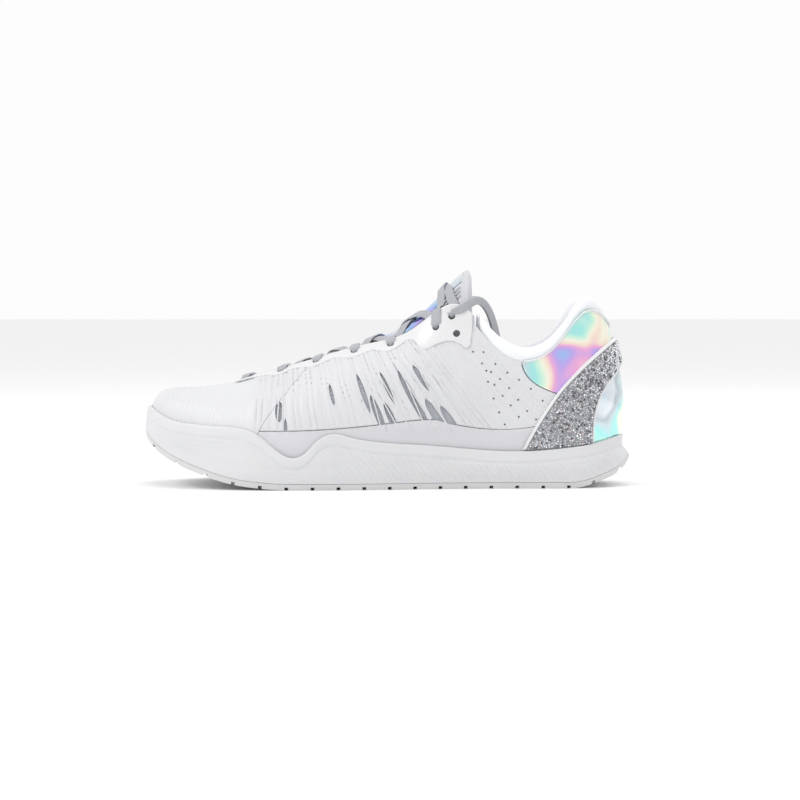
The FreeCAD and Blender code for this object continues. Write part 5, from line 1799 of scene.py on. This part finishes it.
@dataclass
class Laces:
    """The lace through the eyelets, and its two free ends."""

    tongue: Tongue
    width: float = 5.6
    hole_width: float = 2.8
    thickness: float = 0.9
    lift: float = 1.0
    over: float = 0.45
    under: float = 0.35
    end_width: float = 4.8
    end_mouth: float = 1.5
    aglet_radius: float = 1.4
    aglet_length: float = 16.0

    end_route = [
        (42.4, -30.4, 102.6), (47.0, -29.7, 105.4), (51.6, -26.8, 108.4), (56.2, -22.8, 107.2),
        (60.0, -19.6, 102.0), (62.8, -18.0, 94.0), (64.8, -17.7, 85.0), (66.2, -18.2, 75.0),
        (67.0, -19.0, 64.5),
    ]

    def halves(self) -> list[list[Stop]]:
        """The stops of each half, the one that starts on the lateral side first."""
        spots = eyelet_places()[:-1]
        wall = LAYERS.strap[1]
        mouth = wall + self.thickness / 2 + self.over
        under = -self.thickness / 2 - self.under
        in_hole = [(0.25, 0.19 * wall), (-0.15, 0.51 * wall), (0.25, 0.85 * wall)]
        result = []
        for start_side in (-1, 1):
            stops = []
            for k, (station, drop) in enumerate(spots):
                side = start_side * (-1) ** k
                here = station if side < 0 else ROUND - station
                way = edge_way(here, drop)
                inside = [(drop - 0.5, under), (3.6, under), (1.6, under)][1 if k == 0 else 0:]
                outside = [(1.8, mouth), (4.0, mouth), (drop + 0.2, mouth - 0.4)]
                outside = outside[:1] if k == len(spots) - 1 else outside
                for above, depth in inside + in_hole + outside:
                    width = self.hole_width if abs(above) < 1.0 else self.width
                    stops.append(Stop(LAST.edge_point(here, above - drop, depth), way, width))
                if k < len(spots) - 1:
                    stops += self.crossing(here, spots[k + 1][0], side, start_side)
            result.append(stops)
        return result

    def crossing(self, here: float, next_station: float, side: int, start_side: int) -> list[Stop]:
        """The stops over the tongue, from one side to the next eyelet on the other side.

        Args:
            here: Station of the eyelet the lace leaves.
            next_station: Lateral station of the next eyelet.
            side: -1 when it leaves the lateral side, 1 when it leaves the medial side.
            start_side: The side on which this half starts.

        Returns:
            The stops.
        """
        leave = LAST.edge_point(here, 1.5, 0.0)
        arrive = LAST.edge_point(ROUND - next_station if side < 0 else next_station, -0.5, -1.0)
        way = unit(arrive - leave)
        stops = []
        for share in (0.12, 0.25, 0.38, 0.5, 0.62, 0.75, 0.88):
            x, y = (leave + (arrive - leave) * share)[:2]
            ridge, half, arch, _ = self.tongue.values(np.array(x))
            turn = math.asin(min(max(y / half, -0.98), 0.98))
            top = ridge - arch * (1.0 - math.cos(turn))
            lift = self.thickness / 2 + self.lift
            if abs(share - 0.5) < 0.15 and start_side > 0:
                lift += self.thickness + self.over
            slope = -arch * math.sin(turn) / (half * max(math.cos(turn), 0.2))
            climb = (self.tongue.values(np.array(x + 1.0))[0] - self.tongue.values(np.array(x - 1.0))[0]) / 2
            normal = unit(np.array([-climb, -slope, 1.0]))
            stops.append(Stop(np.array([x, y, top]) + normal * lift, unit(np.cross(way, normal)), self.width))
        return stops

    def ribbon(self, name: str, centres: Array, ways: Array, widths: Array) -> bpy.types.Object:
        """A flat woven lace.

        Args:
            name: The piece's name.
            centres: Points along its middle.
            ways: The way of its width at each.
            widths: Its width at each.

        Returns:
            The object.
        """
        forward = unit(np.gradient(centres, axis=0))
        ways = unit(ways - forward * np.sum(ways * forward, axis=1, keepdims=True))
        lift = np.cross(forward, ways)
        share = np.linspace(-1.0, 1.0, 15)
        ridge = np.abs(np.sin(np.pi * 2.5 * (share + 1.0))) * 0.16 - 0.08
        crown = np.sqrt(np.maximum(1.0 - np.abs(share) ** 3.5, 0.0)) * (self.thickness / 2)
        crown = crown + ridge * (np.abs(share) < 0.97)
        under = np.column_stack([share[1:-1], -crown[1:-1]])[::-1]
        ring = np.concatenate([np.column_stack([share, crown]), under])
        points = (centres[:, None] + ways[:, None] * (ring[:, 0] / 2)[None, :, None] * widths[:, None, None]
                  + lift[:, None] * ring[:, 1][None, :, None])
        along = np.concatenate([[0.0], np.cumsum(np.linalg.norm(np.diff(centres, axis=0), axis=1))])
        flat = np.stack([np.broadcast_to(along[:, None], points.shape[:2]),
                         ring[:, 0][None, :] * widths[:, None] / 2], axis=-1)
        rows, size = points.shape[:2]
        i, j = np.meshgrid(np.arange(rows - 1), np.arange(size), indexing="ij")
        after = (j + 1) % size
        here, there = i * size, (i + 1) * size
        quads = np.stack([here + j, here + after, there + after, there + j], axis=-1)
        faces = quads.reshape(-1, 4).tolist()
        faces += [list(range(size))[::-1], list(range((rows - 1) * size, rows * size))]
        piece = new_piece(name, points, faces, flat)
        heal(piece, 1e-7, outward=True)
        return crease(piece, 70.0)

    def main_lace(self) -> None:
        """The lace through all the eyelets."""
        lateral, medial = self.halves()
        middle = (lateral[0].point + medial[0].point) / 2 + np.array([0.0, 0.0, -self.lift])
        along = unit(np.cross(medial[0].point - lateral[0].point, np.array([0.0, 0.0, 1.0])))
        stops = medial[::-1] + [Stop(middle, along, self.width)] + lateral
        centres = np.array([stop.point for stop in stops])
        ways = np.array([stop.way for stop in stops])
        for k in range(1, len(ways)):
            if np.dot(ways[k], ways[k - 1]) < 0:
                ways[k] = -ways[k]
        marks = np.concatenate([[0.0], np.cumsum(np.linalg.norm(np.diff(centres, axis=0), axis=1))])
        at = np.concatenate([np.linspace(one, two, 6, endpoint=False) for one, two in zip(marks, marks[1:])]
                            + [marks[-1:]])
        line = Spline(centres, marks)(at)
        widths = np.interp(at, marks, [stop.width for stop in stops])
        way = np.stack([np.interp(at, marks, ways[:, k]) for k in range(3)], axis=-1)
        piece = self.ribbon("lace_through_eyelets", line, way, widths)
        dress(piece, LACE_CLOTH, stands_for=["lace"])

    def free_end(self, side: int) -> None:
        """One free end, with its aglet."""
        label = "lateral" if side < 0 else "medial"
        station, drop = eyelet_places()[-2]
        here = station if side < 0 else ROUND - station
        start = LAST.edge_point(here, 2.1 - drop, LAYERS.strap[1] + self.end_mouth)
        route = np.array(self.end_route) * SCALE * (1.0, 1.0 if side < 0 else -1.0, 1.0)
        points = np.vstack([start, route]) * MM
        curve = bpy.data.curves.new("route_" + label, "CURVE")
        curve.dimensions = "3D"
        spline = curve.splines.new("NURBS")
        spline.points.add(len(points) - 1)
        for spot, point in zip(spline.points, points):
            spot.co = (*point, 1.0)
        spline.order_u, spline.use_endpoint_u, spline.resolution_u = 3, True, 10
        holder = bpy.data.objects.new("route_" + label, curve)
        bpy.context.scene.collection.objects.link(holder)
        graph = bpy.context.evaluated_depsgraph_get()
        line_mesh = bpy.data.meshes.new_from_object(holder.evaluated_get(graph))
        line = np.array([vertex.co[:] for vertex in line_mesh.vertices])
        bpy.data.objects.remove(holder)
        bpy.data.meshes.remove(line_mesh)
        centres = line / MM
        forward = unit(np.gradient(centres, axis=0))
        ways = [edge_way(here, drop)]
        for k in range(1, len(centres)):
            way = ways[-1] - forward[k] * np.dot(ways[-1], forward[k])
            ways.append(unit(way))
        steps = np.concatenate([[0.0], np.cumsum(np.linalg.norm(np.diff(centres, axis=0), axis=1))])
        length = float(steps[-1])
        widths = self.hole_width + (self.end_width - self.hole_width) * ease(steps, 0.0, 6.0)
        widths = widths - (widths - 2.0) * ease(steps, length - 5.0, length - 0.5)
        piece = self.ribbon("lace_free_" + label, centres, np.array(ways), widths)
        dress(piece, LACE_CLOTH, stands_for=["lace_end_" + label])
        aglet = self.aglet(label, centres[-1], unit(centres[-1] - centres[-2]))
        LOG.info("free end %s: %.1f mm", label, length)

    def aglet(self, label: str, start: Array, way: Array) -> bpy.types.Object:
        """The clear sleeve on a free end.

        Args:
            label: Which end it is on.
            start: Where the lace enters it.
            way: Its direction.

        Returns:
            The sleeve.
        """
        across = unit(np.cross(way, np.array([0.0, 1.0, 0.1])))
        other = np.cross(way, across)
        turn = np.linspace(0, 2 * math.pi, 24, endpoint=False)
        rings = [(0.0, 0.55), (0.0, 0.95), (0.35, 1.0), (2.4, 1.0), (2.7, 0.93), (3.0, 1.0), (12.6, 0.97),
                 (12.9, 0.90), (13.2, 0.96), (15.2, 0.92), (15.8, 0.8), (16.0, 0.5)]
        spokes = (np.cos(turn)[:, None] * across + np.sin(turn)[:, None] * other) * self.aglet_radius
        points = [start + way * (along / rings[-1][0] * self.aglet_length) + spokes * size
                  for along, size in rings]
        count = len(turn)
        faces = []
        for first in range(0, (len(rings) - 1) * count, count):
            for k in range(count):
                after = (k + 1) % count
                faces.append([first + k, first + after, first + count + after, first + count + k])
        faces += [list(range(count))[::-1], [(len(rings) - 1) * count + k for k in range(count)]]
        piece = new_piece("aglet_sleeve_" + label, np.array(points), faces)
        heal(piece, 1e-7, outward=True)
        crease(piece, 50.0)
        return dress(piece, AGLET, stands_for=["aglet_" + label])

    def build(self) -> None:
        """Makes the lace and both ends."""
        self.main_lace()
        self.free_end(-1)
        self.free_end(1)


# ---------------------------------------------------------------- insole
@dataclass
class Insole:
    """The soft insole, crowned a little and rounded at its rim."""

    inset: float = 0.8
    low: float = 2.4
    high: float = 6.3
    columns: int = 220

    def build(self) -> None:
        """Makes the insole."""
        station = np.linspace(0, ROUND, self.columns, endpoint=False)
        rim = LAST.feather_curve(station) - LAST.outward(station) * self.inset
        mirror = LAST.feather_curve(ROUND - station) - LAST.outward(ROUND - station) * self.inset
        spine = rim.copy()
        spine[:, 0] = np.clip((rim[:, 0] + mirror[:, 0]) / 2, -112.0 * SCALE[0], 108.0 * SCALE[0])
        spine[:, 1] = (rim[:, 1] + mirror[:, 1]) / 2
        rings = []
        for share, level in [(1.0, self.low), (0.5, self.low), (0.04, self.low), (0.0, self.low + 0.8),
                             (0.0, self.high - 1.0), (0.012, self.high - 0.25), (0.05, self.high),
                             (0.2, self.high + 0.1), (0.5, self.high - 0.2), (1.0, self.high - 0.3)]:
            ring = rim + (spine - rim) * share
            ring[:, 2] = LAST.footbed_height(ring[:, 0]) + level
            rings.append(ring)
        grid = np.stack(rings, axis=1)
        quads = grid_faces(*grid.shape[:2], ring=True)
        piece = heal(new_piece("insole_pad", grid, quads.tolist()), 2e-5, outward=True)
        piece.data.polygons.foreach_set("use_smooth", [True] * len(piece.data.polygons))
        dress(piece, INSOLE_CLOTH, "sockliner", ["sockliner_foam", "sockliner_cover"])


# ---------------------------------------------------------------- surroundings
@dataclass
class Studio:
    """Pale floor, soft lights and the camera."""

    aim: tuple[float, float, float] = (0.0079, 0.0, 0.0494)
    distance: float = 1.5
    elevation: float = 2.5
    frame_width: float = 0.470
    ambient: float = 0.93
    backdrop: float = 0.98

    def floor(self) -> None:
        """The plain floor."""
        mesh = bpy.data.meshes.new("floor")
        mesh.from_pydata([(-8, -8, 0), (8, -8, 0), (8, 8, 0), (-8, 8, 0)], [], [(0, 1, 2, 3)])
        floor = bpy.data.objects.new("floor", mesh)
        bpy.context.scene.collection.objects.link(floor)
        mesh.materials.append(Finish("floor_paint", (0.98, 0.98, 0.98), roughness=0.9, bump=0.0).material())

    def light(self, name: str, at: tuple[float, float, float], size: float, power: float) -> None:
        """A square soft light that faces the shoe.

        Args:
            name: The lamp's name.
            at: Where it stands, in metres.
            size: Its width.
            power: Its power, in watts.
        """
        data = bpy.data.lights.new(name, "AREA")
        data.shape, data.size, data.energy = "SQUARE", size, power
        lamp = bpy.data.objects.new(name, data)
        lamp.location = at
        lamp.rotation_euler = (Vector(self.aim) - Vector(at)).to_track_quat("-Z", "Y").to_euler()
        bpy.context.scene.collection.objects.link(lamp)

    def build(self) -> None:
        """Makes the surroundings."""
        self.floor()
        world = bpy.data.worlds.new("studio")
        world.use_nodes = True
        background = world.node_tree.nodes["Background"]
        tree = world.node_tree
        seen = tree.nodes.new("ShaderNodeLightPath").outputs["Is Camera Ray"]
        strength = tree.nodes.new("ShaderNodeMapRange")
        strength.inputs["To Min"].default_value = self.ambient
        strength.inputs["To Max"].default_value = self.backdrop
        tree.links.new(seen, strength.inputs["Value"])
        tree.links.new(strength.outputs["Result"], background.inputs["Strength"])
        background.inputs["Color"].default_value = (1.0, 1.0, 1.0, 1.0)
        bpy.context.scene.world = world
        bpy.context.scene.view_settings.view_transform = "Standard"
        self.light("key", (-0.85, -0.6, 1.0), 0.4, 4.0)
        self.light("rim", (0.7, 0.8, 0.9), 0.5, 2.0)
        self.light("top", (0.1, -0.1, 1.6), 0.9, 4.0)
        lift = math.radians(self.elevation)
        camera_data = bpy.data.cameras.new("camera")
        camera_data.sensor_width = 36.0
        camera_data.lens = 36.0 * self.distance / self.frame_width
        camera = bpy.data.objects.new("camera", camera_data)
        camera.location = (self.aim[0], self.aim[1] - self.distance * math.cos(lift),
                           self.aim[2] + self.distance * math.sin(lift))
        camera.rotation_euler = (math.radians(90.0) - lift, 0.0, 0.0)
        bpy.context.scene.collection.objects.link(camera)
        bpy.context.scene.camera = camera


def main() -> None:
    """Builds every sub-assembly in order."""
    logging.basicConfig(level=logging.INFO, format="%(message)s")
    dress_cad()
    tongue = Tongue()
    parts: list[tuple[str, Callable[[], None]]] = [
        ("sole", Sole().build), ("insole", Insole().build), ("overlays", Overlays().build),
        ("heel strap", HeelStrap().build), ("collar", Collar().build), ("tongue", tongue.build),
        ("laces", Laces(tongue).build), ("studio", Studio().build)]
    for label, build in parts:
        LOG.info("building the %s", label)
        build()


if __name__ == "__main__":
    main()
